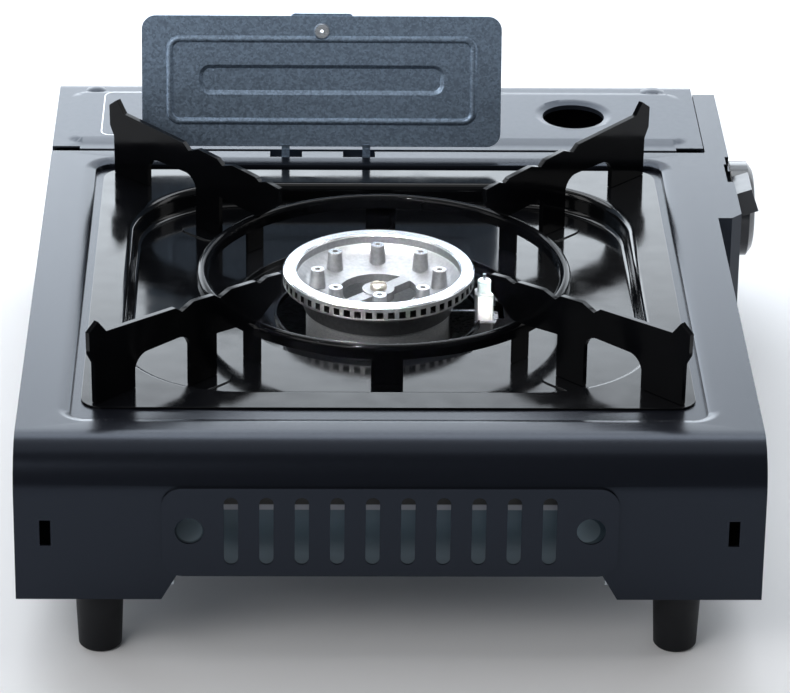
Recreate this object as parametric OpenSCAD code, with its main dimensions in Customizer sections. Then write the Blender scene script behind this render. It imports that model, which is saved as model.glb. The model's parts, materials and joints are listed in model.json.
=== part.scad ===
// Butane cassette stove: a pressed steel body with a burner bay at the front and a
// canister bay behind it, a lift-out heat shield between the two, an enamelled drip
// tray, a stepped pan support, and a control panel with knob and lock lever on the right.
// Millimetres. X runs right to the control panel, Y runs back to the canister bay, Z is up.
// The origin lies on the table, in the middle of the stove's overall outline.

/* [Body] */
// Width of the body, along the canister
body_w = 260; // [250:1:275]
// Depth of the body, from the louvred apron to the back of the lid
body_d = 340; // [334:1:350]
// Height of the deck above the table
deck_h = 82; // [80:0.5:88]
// Thickness of the pressed sheet steel
sheet = 0.8; // [0.6:0.1:1]
// Outer radius of the bend between deck and apron
bend_r = 17.5; // [12:0.5:20]
// Height of the middle of the apron above the table
apron_h = 34; // [32:0.5:36]
// Height of the apron's corner lobes above the table
lobe_h = 24.5; // [22:0.5:27]
// Width of the raised middle between the two lobes
lobe_gap = 148; // [130:1:160]
// Height of the base plate's underside above the table
base_h = 30; // [29:0.5:31]
// Height of the canister trough's underside above the table
trough_h = 10; // [8:0.5:11]

/* [Louvres] */
// Width of the embossed louvre panel
louvre_w = 158; // [150:1:170]
// Height of the embossed louvre panel
louvre_h = 34; // [32:0.5:34.5]
// Number of louvre slots
louvre_n = 10; // [8:1:10]
// Distance between louvre slots
louvre_pitch = 12.24; // [11:0.02:12.5]
// Width of one louvre slot
louvre_slot_w = 4.9; // [4:0.1:6]
// Length of one louvre slot
louvre_slot_l = 26; // [22:0.5:27]
// Radius of the sight hole at each end of the louvres
sight_r = 5; // [4:0.1:5.5]

/* [Lid] */
// Depth of the canister lid
lid_d = 73; // [72:0.5:75]
// Height of the lid's top above the deck
lid_rise = 0.3; // [0:0.1:0.6]
// Gap between the deck and the lid
lid_gap = 1.4; // [1.2:0.1:1.6]
// Radius of the lid's rolled rear edge
lid_roll = 8; // [6:0.5:10]
// Height of the embossed middle of the lid
lid_emboss = 1; // [0.5:0.1:1.5]
// Radius of the finger hole
finger_r = 12.5; // [11:0.5:13]
// Distance of the finger hole right of the middle
finger_x = 79.8; // [60:0.2:90]

/* [Heat shield] */
// Width of the heat shield
shield_w = 142; // [130:1:150]
// Height of the heat shield along its slope
shield_h = 52.5; // [45:0.5:56]
// Lean of the heat shield towards the lid, in degrees
shield_lean = 11; // [8:0.5:11.5]
// Thickness of the heat shield
shield_t = 0.8; // [0.6:0.1:1]
// Distance of the heat shield left of the middle
shield_x = -22.8; // [-30:0.2:-15]
// Length of the legs in their sockets
shield_leg = 12; // [8:0.5:14]

/* [Drip tray] */
// Width of the drip tray
tray_w = 217; // [212:1:219]
// Depth of the drip tray
tray_d = 213; // [209:1:215]
// Depth of the tray's rim below the deck
tray_drop = 2.2; // [2:0.1:2.4]
// Depth of the well below the rim
well_depth = 9; // [8:0.5:10]
// Width of the rim on each side
rim_w = 14; // [13:0.5:15]
// Radius of the well's corners
well_r = 42; // [38:0.5:46]
// Radius of the hole that the burner stands in
tray_hole_r = 38; // [37.4:0.1:39]

/* [Pan support] */
// Outer radius of the pan support ring
ring_r = 69.7; // [68:0.1:71]
// Height of the ring's top above the tray's rim
ring_rise = 6.3; // [5:0.1:7]
// Thickness of a support arm
arm_t = 2; // [1.6:0.1:2.5]
// Reach of an arm's outer edge from the burner's axis
arm_reach = 149.2; // [147:0.1:150]
// Height of an arm's tip above the tray's rim
arm_rise = 31.4; // [29:0.1:33]

/* [Burner] */
// Outer radius of the burner's top ring
burner_r = 35.7; // [34:0.1:36]
// Height of the burner's top above the deck
burner_rise = 3.4; // [2:0.1:5]
// Number of posts in the burner's dish
post_n = 8; // [6:1:10]
// Number of flame slots
port_n = 54; // [40:1:60]

/* [Controls] */
// Thickness of the control panel box
panel_t = 9.4; // [9:0.1:10]
// Radius of the knob
knob_r = 19; // [17:0.5:20.5]
// Depth of the knob
knob_t = 9.5; // [8:0.1:10]
// Distance of the knob's axis behind the front of the canister bay
knob_back = 16; // [16:0.5:17]
// Height of the knob's axis above the table
knob_h = 54; // [53:0.5:55]
// Width of the lock lever's finger tab
lever_w = 16.5; // [14:0.5:16.5]
// Travel of the lock lever
lever_travel = 12; // [8:0.5:12]
// Travel of the canister carriage
carriage_travel = 6; // [4:0.5:6]
// Radius of the butane canister that the bay takes
canister_r = 33.5; // [32:0.5:34]

/* [Hidden] */
$fn = 96;

// Small amount by which a cut runs past a face
eps = 1;
// Gap between pieces that move past each other
slip = 0.3;
// Radial clearance of a shaft in its bore
run = 0.05;
// Extra radius where two straight legs of a pipe or lead meet
knuckle = 0.2;

// Body
half_w = body_w / 2;
front_y = -body_d / 2;
rear_y = body_d / 2;
lid_front = rear_y - lid_d;
deck_rear = lid_front - lid_gap;
// The deck reaches over the front of the canister bay
deck_over = 6.6;
bay_front = deck_rear - deck_over;
wall_step = sheet + 0.4;
rear_wall = rear_y - sheet - 0.6;
bay_wall_h = deck_h - 6.9;
lid_skirt_h = bay_wall_h - 1.7;
base_t = 1;
base_top = base_h + base_t;
flange_h = 6;

// Overall outline, which the origin is centred in
knob_gap = 2.1;
panel_face = half_w + panel_t;
knob_face = panel_face + knob_gap + knob_t;
frame_x = -(knob_face - half_w) / 2;
louvre_raise = 1.4;
frame_y = louvre_raise / 2;

// Tray and recess
tray_top = deck_h - tray_drop;
tray_back = bay_front - 7;
tray_y = tray_back - tray_d / 2;
recess_side = 8;
recess_front = 16;
recess_rear = 7.5;
recess_w = tray_w + 2 * recess_side;
recess_d = tray_d + recess_front + recess_rear;
recess_y = tray_back + recess_rear - recess_d / 2;
recess_r = 11;
ledge_top = tray_top - sheet;
ledge_in = 8;
lip_w = 5;
well_w = tray_w - 2 * rim_w;
well_d = tray_d - 2 * rim_w - 2;
well_floor = tray_top - well_depth;
basin_r = 54;
basin_step = 2.4;
basin_depth = 4.6;
basin_lip = 1.5;
notch_w = 16;
notch_reach = 47;

// Burner and its igniter stand close to the tray's axis
burner_x = -2;
burner_off = 0.4;
burner_y = tray_y + burner_off;
burner_top = deck_h + burner_rise;
bowl_r = 27;
bowl_bottom = base_top + 4;
ring_in = burner_r * 0.855;
post_circle = burner_r * 0.638;
throat_r = burner_r * 0.41;
igniter_x = burner_r + 3.9;
tube_r = 8;
tube_h = bowl_bottom + tube_r;
igniter_h = burner_top - 23.4;

// Canister bay
bay_y = (bay_front + rear_wall) / 2 + 0.5;
canister_h = trough_h + sheet + canister_r + 1.6;
regulator_x = half_w - 33;
regulator_r = 20;

// Controls
knob_y = bay_front + knob_back;
shaft_r = 3;
panel_front = bay_front - 58;
panel_rear = rear_y - 12.4;
panel_low = lobe_h;
lever_y = bay_front - 22;
lever_t = 1.2;
lever_top = deck_h - 5.6;
tab_drop = 12;
slot_low = lever_top - tab_drop - lever_travel - 3;
pin_r = 2.5;
pin_x = half_w - 22;
pin_h = lever_top - lever_travel - 7.4;
arm_y = bay_front + 4;
piezo_w = 7;
piezo_x = half_w + 1 + piezo_w / 2;
cam_low = 9;
cam_rise = 5;
cam_turn = 100;
cam_t = 3;
pipe_r = 2.5;
pipe_x = half_w - 26;
pipe_h = base_top + 3.5;

// Sweeps a profile along X: its x becomes Y and its y becomes Z
module along_x(length) {
    rotate([90, 0, 90])
        linear_extrude(height = length, center = true)
            children();
}

// Sweeps a profile along Y: its x becomes X and its y becomes Z
module along_y(length) {
    rotate([90, 0, 0])
        linear_extrude(height = length, center = true)
            children();
}

// Round bar or hole along X
module bar_x(r, length) {
    rotate([0, 90, 0])
        cylinder(r = r, h = length, center = true);
}

// Round bar or hole along Y
module bar_y(r, length) {
    rotate([90, 0, 0])
        cylinder(r = r, h = length, center = true);
}

// Rectangle with round corners
module rounded(w, d, r) {
    square([w - 2 * r, d], center = true);
    square([w, d - 2 * r], center = true);
    for (sx = [-1, 1], sy = [-1, 1])
        translate([sx * (w / 2 - r), sy * (d / 2 - r)])
            circle(r);
}

// Plate with round corners that stands on Z = 0
module plate(w, d, h, r) {
    linear_extrude(height = h)
        rounded(w, d, r);
}

// Sweeps a profile round a rounded rectangle. The profile's x points outward from the path.
module sweep_frame(w, d, r) {
    for (turn = [0:3])
        translate([(turn == 0 || turn == 3 ? 1 : -1) * (w / 2 - r), (turn < 2 ? 1 : -1) * (d / 2 - r), 0])
            rotate([0, 0, 90 * turn])
                rotate_extrude(angle = 90)
                    translate([r, 0])
                        children();
    for (turn = [0:3])
        rotate([0, 0, 90 * turn])
            translate([(turn % 2 == 0 ? w : d) / 2, 0, 0])
                along_y((turn % 2 == 0 ? d : w) - 2 * r)
                    children();
}

// Quarter of a bent sheet's section, in the quadrant given by the signs sx and sy
module bend(r_out, t, sx, sy) {
    intersection() {
        difference() {
            circle(r_out);
            circle(r_out - t);
        }
        translate([sx > 0 ? 0 : -r_out, sy > 0 ? 0 : -r_out])
            square(r_out);
    }
}

// Places a piece of the body in the frame of the whole stove
module in_frame() {
    translate([frame_x, frame_y, 0])
        children();
}

// Places a piece round the burner's axis
module at_burner() {
    translate([frame_x + burner_x, burner_y + frame_y, 0])
        children();
}

// Places a piece round the middle of the tray
module at_tray() {
    translate([frame_x, tray_y + frame_y, 0])
        children();
}

// Side view of the burner bay, with its rounded top front edge
module bay_side(inset, low) {
    r = bend_r - inset;
    y = front_y + inset;
    translate([y + r, low])
        square([bay_front - y - r, deck_h - inset - low]);
    translate([y, low])
        square([r, deck_h - bend_r - low]);
    translate([y + r, deck_h - bend_r])
        circle(r);
}

// Side view of the canister bay below the lid
module canister_side(inset) {
    translate([bay_front - eps, trough_h])
        square([rear_wall - inset - bay_front + eps, bay_wall_h - trough_h]);
}

// Outline cut away under the middle of the apron, between its lobes
module apron_cut() {
    slant = 6;
    polygon([[-lobe_gap / 2, apron_h], [-lobe_gap / 2 - slant, lobe_h - eps],
             [lobe_gap / 2 + slant, lobe_h - eps], [lobe_gap / 2, apron_h]]);
}

// Outline of the louvre panel's slots and sight holes
module louvre_holes() {
    for (i = [0:louvre_n - 1])
        translate([(i - (louvre_n - 1) / 2) * louvre_pitch, 0])
            rounded(louvre_slot_w, louvre_slot_l, louvre_slot_w / 2 - 0.01);
    for (s = [-1, 1])
        translate([s * (louvre_w / 2 - 9.5), 0])
            circle(sight_r);
}

louvre_mid = apron_h + louvre_h / 2 + 0.4;
slot_mid = louvre_mid + 0.6;
tab_slot_x = half_w - 10.7;

// Sheet of the deck, apron and ends before its openings are cut
module shell_sheet() {
    difference() {
        union() {
            along_x(body_w)
                bay_side(0, lobe_h);
            along_x(body_w)
                difference() {
                    canister_side(0);
                    translate([lid_front - eps, lid_skirt_h - slip])
                        square([lid_d, lid_rise + 20]);
                }
            // the deck runs on over the front of the canister bay
            along_x(body_w)
                translate([bay_front - eps, lid_skirt_h])
                    square([deck_rear - bay_front + eps, deck_h - lid_skirt_h]);
            along_x(body_w - 2 * wall_step)
                canister_side(0);
        }
        along_x(body_w - 2 * sheet)
            bay_side(sheet, trough_h - eps);
        along_x(body_w - 2 * wall_step - 2 * sheet) {
            translate([bay_front - 2 * eps, trough_h - eps])
                square([rear_wall - sheet - bay_front + 2 * eps, deck_h - sheet - trough_h + eps]);
            translate([deck_rear, trough_h])
                square([rear_wall - sheet - deck_rear, deck_h]);
        }
        along_x(body_w - 2 * wall_step - 2 * sheet)
            translate([deck_rear, bay_wall_h])
                square([lid_d, lid_d]);
    }
}

// Pressed steel shell: deck with its recess, louvred apron, both ends and the rear wall
module body_shell() {
    color("#1b1f26")
        in_frame() {
            difference() {
                union() {
                    shell_sheet();
                    // flange that the deck turns down at its rear edge
                    translate([-half_w + sheet, deck_rear - sheet, deck_h - flange_h])
                        cube([body_w - 2 * sheet, sheet, flange_h - sheet / 2]);
                    // raised louvre panel
                    translate([0, front_y + sheet, louvre_mid])
                        rotate([90, 0, 0])
                            plate(louvre_w, louvre_h, sheet + louvre_raise, 7);
                }
                // hollow behind the raised louvre panel
                translate([0, front_y + sheet + eps, louvre_mid])
                    rotate([90, 0, 0])
                        plate(louvre_w - 2 * sheet, louvre_h - 2 * sheet, louvre_raise + eps, 6.2);
                translate([0, front_y, slot_mid])
                    along_y(8 * louvre_raise)
                        louvre_holes();
                translate([0, front_y, 0])
                    along_y(2 * bend_r)
                        apron_cut();
                // tab slots at both ends of the apron
                for (s = [-1, 1])
                    translate([s * tab_slot_x, front_y, louvre_mid - 1])
                        cube([3.8, 4, 9.8], center = true);
                // recess for the tray
                translate([0, recess_y, deck_h - lip_w])
                    plate(recess_w, recess_d, lip_w + eps, recess_r);
                // notches in the deck's rear edge that the legs of the heat shield pass
                for (x = leg_notch_x)
                    translate([x, shield_y - slip, deck_h - flange_h - eps])
                        cube([leg_notch_w, deck_over + 2, flange_h + 2 * eps]);
                end_openings();
                trough_slope();
                lid_pocket();
            }
            recess_lip();
        }
}

// Openings in the right end for the shaft, the lever and the igniter lead
module end_openings() {
    translate([half_w, knob_y, knob_h])
        bar_x(shaft_r + 0.6, 6);
    translate([half_w - 3, lever_y - slip, slot_low])
        cube([6, lever_t + 2 * slip, lever_top - slot_low + slip]);
    translate([half_w, lead_y, lead_h])
        bar_x(lead_r + 0.3, 6);
}

// Slope between the burner bay's low edge and the deeper canister bay, on both ends
module trough_slope() {
    along_x(body_w + 2)
        polygon([[bay_front - 2 * eps, trough_h - 2], [bay_front - 2 * eps, lobe_h],
                 [bay_front, lobe_h], [bay_front + lobe_h - trough_h, trough_h - 2]]);
}

// Pocket in each end that the lid's hinge ears turn in
module lid_pocket() {
    for (s = [-1, 1])
        translate([s * (half_w - wall_step / 2), 0, 0]) {
            translate([0, hinge_y, hinge_h])
                bar_x(ear_r + slip + 0.3, wall_step);
            translate([0, hinge_y + 3, hinge_h + 4])
                cube([wall_step, 2 * ear_r + 2 * slip + 6, 8], center = true);
            translate([0, hinge_y + 3, hinge_h])
                cube([wall_step, 6, 2 * ear_r + 2 * slip + 0.6], center = true);
        }
    for (s = [-1, 1])
        translate([s * (half_w - pin_l / 2), hinge_y, hinge_h])
            bar_x(hinge_pin_r, pin_l);
}

// Soft lip that leads from the deck down to the ledge that carries the tray
module recess_lip() {
    translate([0, recess_y, deck_h])
        sweep_frame(recess_w, recess_d, recess_r)
            polygon([[sheet / 2, 0], [0, 0], [-0.73 * lip_w, -0.8], [-0.93 * lip_w, -1.3], [-lip_w, -2.2],
                     [-lip_w, ledge_top - sheet - deck_h], [-lip_w + sheet, ledge_top - sheet - deck_h],
                     [-lip_w + sheet, -2.4], [-0.7 * lip_w, -1.6], [0, -sheet], [sheet / 2, -sheet]]);
    difference() {
        translate([0, recess_y, ledge_top - sheet])
            plate(recess_w - 2 * lip_w + 2 * sheet, recess_d - 2 * lip_w + 2 * sheet, sheet,
                  recess_r - lip_w + sheet);
        translate([0, tray_y, ledge_top - sheet - eps])
            plate(tray_w - 2 * ledge_in, tray_d - 2 * ledge_in, 2 * eps + sheet, recess_r);
    }
}

// Galvanized plate that closes the burner bay from below
module base_plate() {
    rim = 6;
    front = front_y + sheet;
    color("#9aa0a6")
        in_frame()
            difference() {
                translate([-half_w + sheet, front, base_h])
                    cube([body_w - 2 * sheet, bay_front - 2 * sheet - front, rim]);
                translate([-half_w + 2 * sheet, front + sheet, base_top])
                    cube([body_w - 4 * sheet, body_d, rim]);
                // the plate steps back behind the raised middle of the apron
                translate([0, front, base_h])
                    cube([lobe_gap + 2, 24, 20], center = true);
                translate([pipe_x, bay_front - 2 * sheet, pipe_h])
                    bar_y(pipe_r + 0.2, 4);
                for (p = foot_places)
                    if (p[1] < bay_front)
                        translate([p[0], p[1], base_h])
                            cylinder(r = screw_r, h = 9, center = true);
                base_screw_holes();
            }
}

// Upright sheet between the hot burner bay and the canister bay
module bay_partition() {
    y = bay_front - 2 * sheet;
    color("#9aa0a6")
        in_frame()
            difference() {
                translate([-half_w + sheet, y, base_h])
                    cube([body_w - 2 * sheet, sheet, deck_h - 1.5 * sheet - base_h]);
                // passages for the gas pipe and for the carriage's drive pin
                translate([pipe_x, y, pipe_h])
                    bar_y(pipe_r + 0.2, 4);
                translate([pin_x - pin_r - 1, y - 1, pin_h - pin_r - 0.5])
                    cube([carriage_travel + 2 * pin_r + 2, 4, 2 * pin_r + 1]);
            }
}

// Front end of the trough's flat floor
trough_front = bay_front + lobe_h - trough_h + 3;

// Sheet floor of the canister bay
module canister_trough() {
    long = body_w - 2 * wall_step - 2 * sheet;
    color("#1b1f26")
        in_frame()
            difference() {
                along_x(long) {
                    translate([trough_front, trough_h])
                        square([rear_wall - sheet - trough_front, sheet]);
                    polygon([[bay_front - sheet, lobe_h + 2.5], [trough_front, trough_h],
                             [trough_front, trough_h + sheet + 0.3], [bay_front, lobe_h + 3.3]]);
                    translate([bay_front - sheet, lobe_h + 2.5])
                        square([sheet, base_top + 8 - lobe_h]);
                }
                translate([pipe_x, bay_front, pipe_h])
                    bar_y(pipe_r + 0.2, 4);
                for (p = foot_places)
                    if (p[1] > bay_front)
                        translate([p[0], p[1], trough_h])
                            cylinder(r = screw_r, h = 9, center = true);
            }
}

// Two cross ribs with a round seat that the canister lies in
module canister_saddles() {
    saddle_x = [-half_w * 0.63, half_w * 0.23];
    saddle_w = 44;
    color("#9aa0a6")
        in_frame()
            for (x = saddle_x)
                difference() {
                    translate([x, bay_y - saddle_w / 2, trough_h + sheet])
                        cube([1.5, saddle_w, 9]);
                    translate([x, bay_y, canister_h])
                        bar_x(canister_r + 0.6, 8);
                }
}

// Inner plate seen through the louvres
module louvre_plate() {
    y = front_y + 13;
    top = louvre_mid + 8;
    color("#59616b")
        in_frame()
            difference() {
                along_x(louvre_w - 4) {
                    translate([y, base_top])
                        square([sheet, top - base_top]);
                    translate([y, base_top])
                        square([12, sheet]);
                    translate([y, top - sheet])
                        square([4, sheet]);
                }
                base_screw_holes();
            }
}

// Lid hinge, at the back of the canister bay
hinge_y = rear_y - 2.4;
hinge_h = lid_skirt_h - 5.3;
hinge_pin_r = 0.9;
pin_l = 2.9;
ear_r = 2.1;
lid_top = deck_h + lid_rise;

// Side view of the lid: flat top, front lip, rolled rear edge and rear skirt
module lid_side(inset) {
    r = lid_roll - inset;
    translate([lid_front + inset, lid_top - 4.2])
        square([lid_d - lid_roll - inset, 4.2 - inset]);
    translate([lid_front + inset, lid_skirt_h])
        square([lid_d - lid_roll - inset, lid_top - lid_skirt_h - inset]);
    translate([rear_y - lid_roll, lid_skirt_h])
        square([r, lid_top - lid_roll - lid_skirt_h]);
    translate([rear_y - lid_roll, lid_top - lid_roll])
        circle(r);
}

panel_margin_x = 5;
panel_margin_front = 5.5;
panel_margin_rear = 12;
panel_edge = 4.5;

// Raised panel with a sloped edge, which stands on Z = 0 and reaches down by low
module raised_panel(w, d, r, edge, h, low) {
    sweep_frame(w, d, r)
        polygon([[-edge - 0.2, -low], [0, -low], [0, 0], [-edge, h], [-edge - 0.2, h]]);
    translate([0, 0, -low])
        plate(w - 2 * edge, d - 2 * edge, h + low, r - edge);
}

// Hinged steel lid over the canister, with its finger hole and snap bumps
module canister_lid() {
    panel_w = body_w - 2 * panel_margin_x;
    panel_d = lid_d - panel_margin_front - panel_margin_rear;
    panel_y = lid_front + panel_margin_front + panel_d / 2;
    finger_y = lid_front + 35.6;
    color("#262b34")
        in_frame()
            difference() {
                union() {
                    difference() {
                        union() {
                            along_x(body_w)
                                lid_side(0);
                            translate([0, panel_y, lid_top])
                                raised_panel(panel_w, panel_d, 7, panel_edge, lid_emboss, sheet / 2);
                            bump(-half_w + 15, 8);
                            bump(half_w - 16, 12);
                        }
                        along_x(body_w - 2 * sheet)
                            lid_side(sheet);
                        along_x(body_w - 2 * sheet)
                            translate([lid_front + sheet, lid_skirt_h - 8])
                                square([lid_d - 2 * sheet, 9]);
                        translate([0, panel_y, lid_top - sheet])
                            raised_panel(panel_w - 2, panel_d - 2, 6, panel_edge, lid_emboss, eps);
                        // the front lip is shorter than the ends
                        along_x(body_w + 2)
                            translate([lid_front - eps, lid_skirt_h - 8])
                                square([eps + sheet + 3, lid_top - 4.2 - lid_skirt_h + 8]);
                        // below the skirt the roll's lower half is open
                        along_x(body_w + 2)
                            translate([lid_front - eps, lid_skirt_h - 8])
                                square([lid_d + 2 * eps, 8]);
                    }
                    // rear skirt, which reaches below the top of the body's rear wall
                    translate([-half_w, rear_y - sheet, lid_skirt_h - 3.3])
                        cube([body_w, sheet, 4.3]);
                    // hinge ears at the back of both ends
                    for (s = [-1, 1])
                        translate([s * (half_w - sheet / 2), 0, 0])
                            along_x(sheet) {
                                translate([hinge_y, hinge_h])
                                    circle(ear_r);
                                translate([hinge_y - ear_r, hinge_h])
                                    square([2 * ear_r, lid_skirt_h - hinge_h + 2]);
                            }
                    // rolled edge of the finger hole
                    translate([finger_x, finger_y, lid_top + lid_emboss - 3])
                        cylinder(r = finger_r + 1.2, h = 3);
                }
                translate([finger_x, finger_y, lid_top])
                    cylinder(r = finger_r, h = 20, center = true);
                // shallow cone round the finger hole
                translate([finger_x, finger_y, lid_top + lid_emboss - 1.1])
                    cylinder(r1 = finger_r, r2 = finger_r + 4, h = 1.2);
                // cut corners at both ends of the front lip
                for (s = [-1, 1])
                    translate([s * (half_w - 5), lid_front, lid_top - 4])
                        cube([12, 5, 12], center = true);
                translate([0, hinge_y, hinge_h])
                    bar_x(hinge_pin_r + run, body_w + 4);
            }
}

// Low dome near the lid's rear edge, cut from a ball of radius r
module bump(x, r) {
    rise = 1.1;
    translate([x, rear_y - lid_roll - 2.5, lid_top])
        intersection() {
            translate([0, 0, rise - r])
                sphere(r);
            translate([-r, -r, -sheet / 2])
                cube([2 * r, 2 * r, 4]);
        }
}

// Pins that the lid turns on
module lid_hinge_pins() {
    color("#b9bdc2")
        in_frame()
            for (s = [-1, 1])
                translate([s * (half_w - pin_l / 2), hinge_y, hinge_h])
                    bar_x(hinge_pin_r, pin_l);
}

// Heat shield
shield_foot = deck_h + 4.3;
shield_y = bay_front + 1;
leg_w = 3.2;
shield_leg_x = [-37, -5];
leg_notch_x = [-43.2, -14.2];
leg_notch_w = 12.7;

// Places a piece in the plane of the leaning shield, with y up its slope and z to the front
module on_shield() {
    translate([shield_x, shield_y + shield_t, shield_foot])
        rotate([90 - shield_lean, 0, 0])
            children();
}

// Galvanized plate that stands between burner and canister, with two beads and two legs
module heat_shield() {
    bead = 0.8;
    inner_deep = 1.1;
    inner_w = shield_w - 44;
    inner_h = shield_h - 39.5;
    inner_y = shield_h / 2 + 0.6;
    color("#b7bcc1")
        in_frame() {
            difference() {
                union() {
                    on_shield()
                        translate([0, shield_h / 2, 0])
                            plate(shield_w, shield_h, shield_t, 5.6);
                    on_shield()
                        translate([0, shield_h / 2 + 0.4, shield_t])
                            sweep_frame(shield_w - 22, shield_h - 19.5, 4)
                                bead_section(bead);
                    // inner panel, pressed the other way
                    on_shield()
                        translate([0, inner_y, 0])
                            mirror([0, 0, 1])
                                raised_panel(inner_w, inner_h, 5, 1.6, inner_deep, shield_t / 2);
                }
                on_shield()
                    translate([0, inner_y, shield_t])
                        mirror([0, 0, 1])
                            raised_panel(inner_w - 1, inner_h - 1, 4.5, 1.6, inner_deep, eps);
                on_shield()
                    translate([0, shield_h - rivet_drop, 0])
                        cylinder(r = rivet_r, h = 8, center = true);
                // flat seat for the rivet's head in the bead
                on_shield()
                    translate([0, shield_h - rivet_drop, shield_t])
                        cylinder(r = rivet_seat_r, h = 4);
            }
            for (x = shield_leg_x)
                translate([x - leg_w / 2, shield_y, deck_h - 8 - shield_leg])
                    cube([leg_w, shield_t, shield_foot - deck_h + 8 + shield_leg + 1]);
        }
}

// Low round section of a bead, standing on y = 0
module bead_section(h) {
    intersection() {
        translate([0, -h])
            circle(2 * h);
        translate([-2 * h, 0])
            square([4 * h, h]);
    }
}

rivet_drop = 6;
rivet_r = 1.6;
rivet_seat_r = 3.5;

// Clip strip riveted behind the shield's upper edge
module shield_clip() {
    color("#c3c7cc")
        in_frame()
            on_shield()
                translate([-1, shield_h - 9, -1.2])
                    difference() {
                        linear_extrude(height = 1.2)
                            translate([1, 3])
                                rounded(25, 13.6, 2);
                        translate([1, 9 - rivet_drop, 0])
                            cylinder(r = rivet_r, h = 6, center = true);
                    }
}

// Pop rivet through shield and clip
module shield_rivet() {
    color("#d8dadd")
        in_frame()
            on_shield()
                translate([0, shield_h - rivet_drop, 0])
                    rotate_extrude()
                        polygon([[0.7, -2.2], [2.6, -2.2], [2.6, -1.2], [rivet_r, -1.2], [rivet_r, shield_t],
                                 [3.2, shield_t], [2.7, shield_t + 1], [1.1, shield_t + 1], [0.7, shield_t + 0.4]]);
}

// Two pockets behind the deck's rear edge that the shield's legs stand in
module shield_sockets() {
    top = deck_h - flange_h - 0.3;
    bottom = deck_h - 8 - shield_leg - 1.3;
    color("#9aa0a6")
        in_frame()
            for (x = shield_leg_x)
                difference() {
                    translate([x - leg_w / 2 - 1.6, bay_front - sheet, bottom])
                        cube([leg_w + 3.2, shield_t + 2.6, top - bottom]);
                    translate([x - leg_w / 2 - slip, shield_y - slip, bottom + 1])
                        cube([leg_w + 2 * slip, shield_t + 2 * slip, 40]);
                }
}

// Enamelled tray with a rounded well, a central basin and the burner's hole
module drip_tray() {
    fillet = 3;
    color("#0f1216")
        at_tray() {
            difference() {
                union() {
                    translate([0, 0, tray_top - sheet])
                        difference() {
                            plate(tray_w, tray_d, sheet, 8);
                            translate([0, 0, -eps])
                                plate(well_w + 2 * fillet, well_d + 2 * fillet, sheet + 2 * eps, well_r + fillet);
                        }
                    sweep_frame(well_w, well_d, well_r) {
                        translate([fillet, tray_top - fillet])
                            bend(fillet, sheet, -1, 1);
                        translate([0, well_floor + fillet - sheet])
                            square([sheet, tray_top - well_floor - 2 * fillet + sheet]);
                        translate([-fillet + sheet, well_floor + fillet - sheet])
                            bend(fillet, sheet, 1, -1);
                    }
                    translate([0, 0, well_floor - sheet])
                        difference() {
                            plate(well_w - 2 * fillet + 2 * sheet, well_d - 2 * fillet + 2 * sheet, sheet,
                                  well_r - fillet + sheet);
                            translate([burner_x, burner_off, -eps])
                                cylinder(r = basin_r, h = sheet + 2 * eps);
                        }
                    translate([burner_x, burner_off, well_floor])
                        rotate_extrude()
                            basin_section();
                    well_pads();
                }
                translate([burner_x, burner_off - notch_w / 2, well_floor - 10])
                    cube([notch_reach, notch_w, 20]);
            }
        }
}

// Section of the two steps that lead down to the burner's hole
module basin_section() {
    step_r = basin_r - 9;
    polygon([[tray_hole_r, -basin_depth - sheet], [step_r + sheet, -basin_depth - sheet],
             [step_r + sheet, -basin_step - sheet], [basin_r + sheet, -basin_step - sheet],
             [basin_r + sheet, 0], [basin_r, 0], [basin_r, -basin_step], [step_r, -basin_step],
             [step_r, -basin_depth], [tray_hole_r + sheet, -basin_depth],
             [tray_hole_r + sheet, basin_lip - basin_depth], [tray_hole_r, basin_lip - basin_depth]]);
}

// Low raised pads that the arms' middle legs stand on
pad_h = 0.5;
module well_pads() {
    for (turn = [45:90:315])
        rotate([0, 0, turn])
            translate([leg_mid, 0, well_floor - sheet])
                plate(24, 15, sheet + pad_h, 7);
}

// Ring of rolled sheet that joins the four arms and stands on six posts
ring_top = tray_top + ring_rise;
post_stand = 0.15;
module support_ring() {
    roll = 2;
    band = 5;
    color("#101318")
        at_tray() {
            rotate_extrude()
                difference() {
                    union() {
                        translate([ring_r - roll, ring_top - roll])
                            circle(roll);
                        translate([ring_r - 2 * roll, ring_top - band])
                            square([2 * roll, band - roll]);
                    }
                    translate([ring_r - roll, ring_top - roll])
                        circle(roll - sheet);
                    translate([ring_r - 2 * roll + sheet, ring_top - band - eps])
                        square([2 * roll - 2 * sheet, band - roll + eps]);
                }
            for (turn = [45:90:315])
                rotate([0, 0, turn])
                    ring_post(8.5);
            for (turn = [90, 270])
                rotate([0, 0, turn])
                    ring_post(11.6);
        }
}

// Sheet post below the ring
module ring_post(w) {
    low = well_floor + post_stand;
    translate([ring_r - 1.4, -w / 2, low])
        cube([1.05, w, ring_top - low - 3]);
}

// Stepped profile of an arm: distance from the burner's axis and height above the tray's rim
leg_mid = 94;
leg_w2 = 13;
foot_in = 127.5;
arm_in = 54.8;

// Distance from the middle at a share of the arm's length
function arm_at(share) = arm_in + share * (arm_reach - arm_in);

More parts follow.
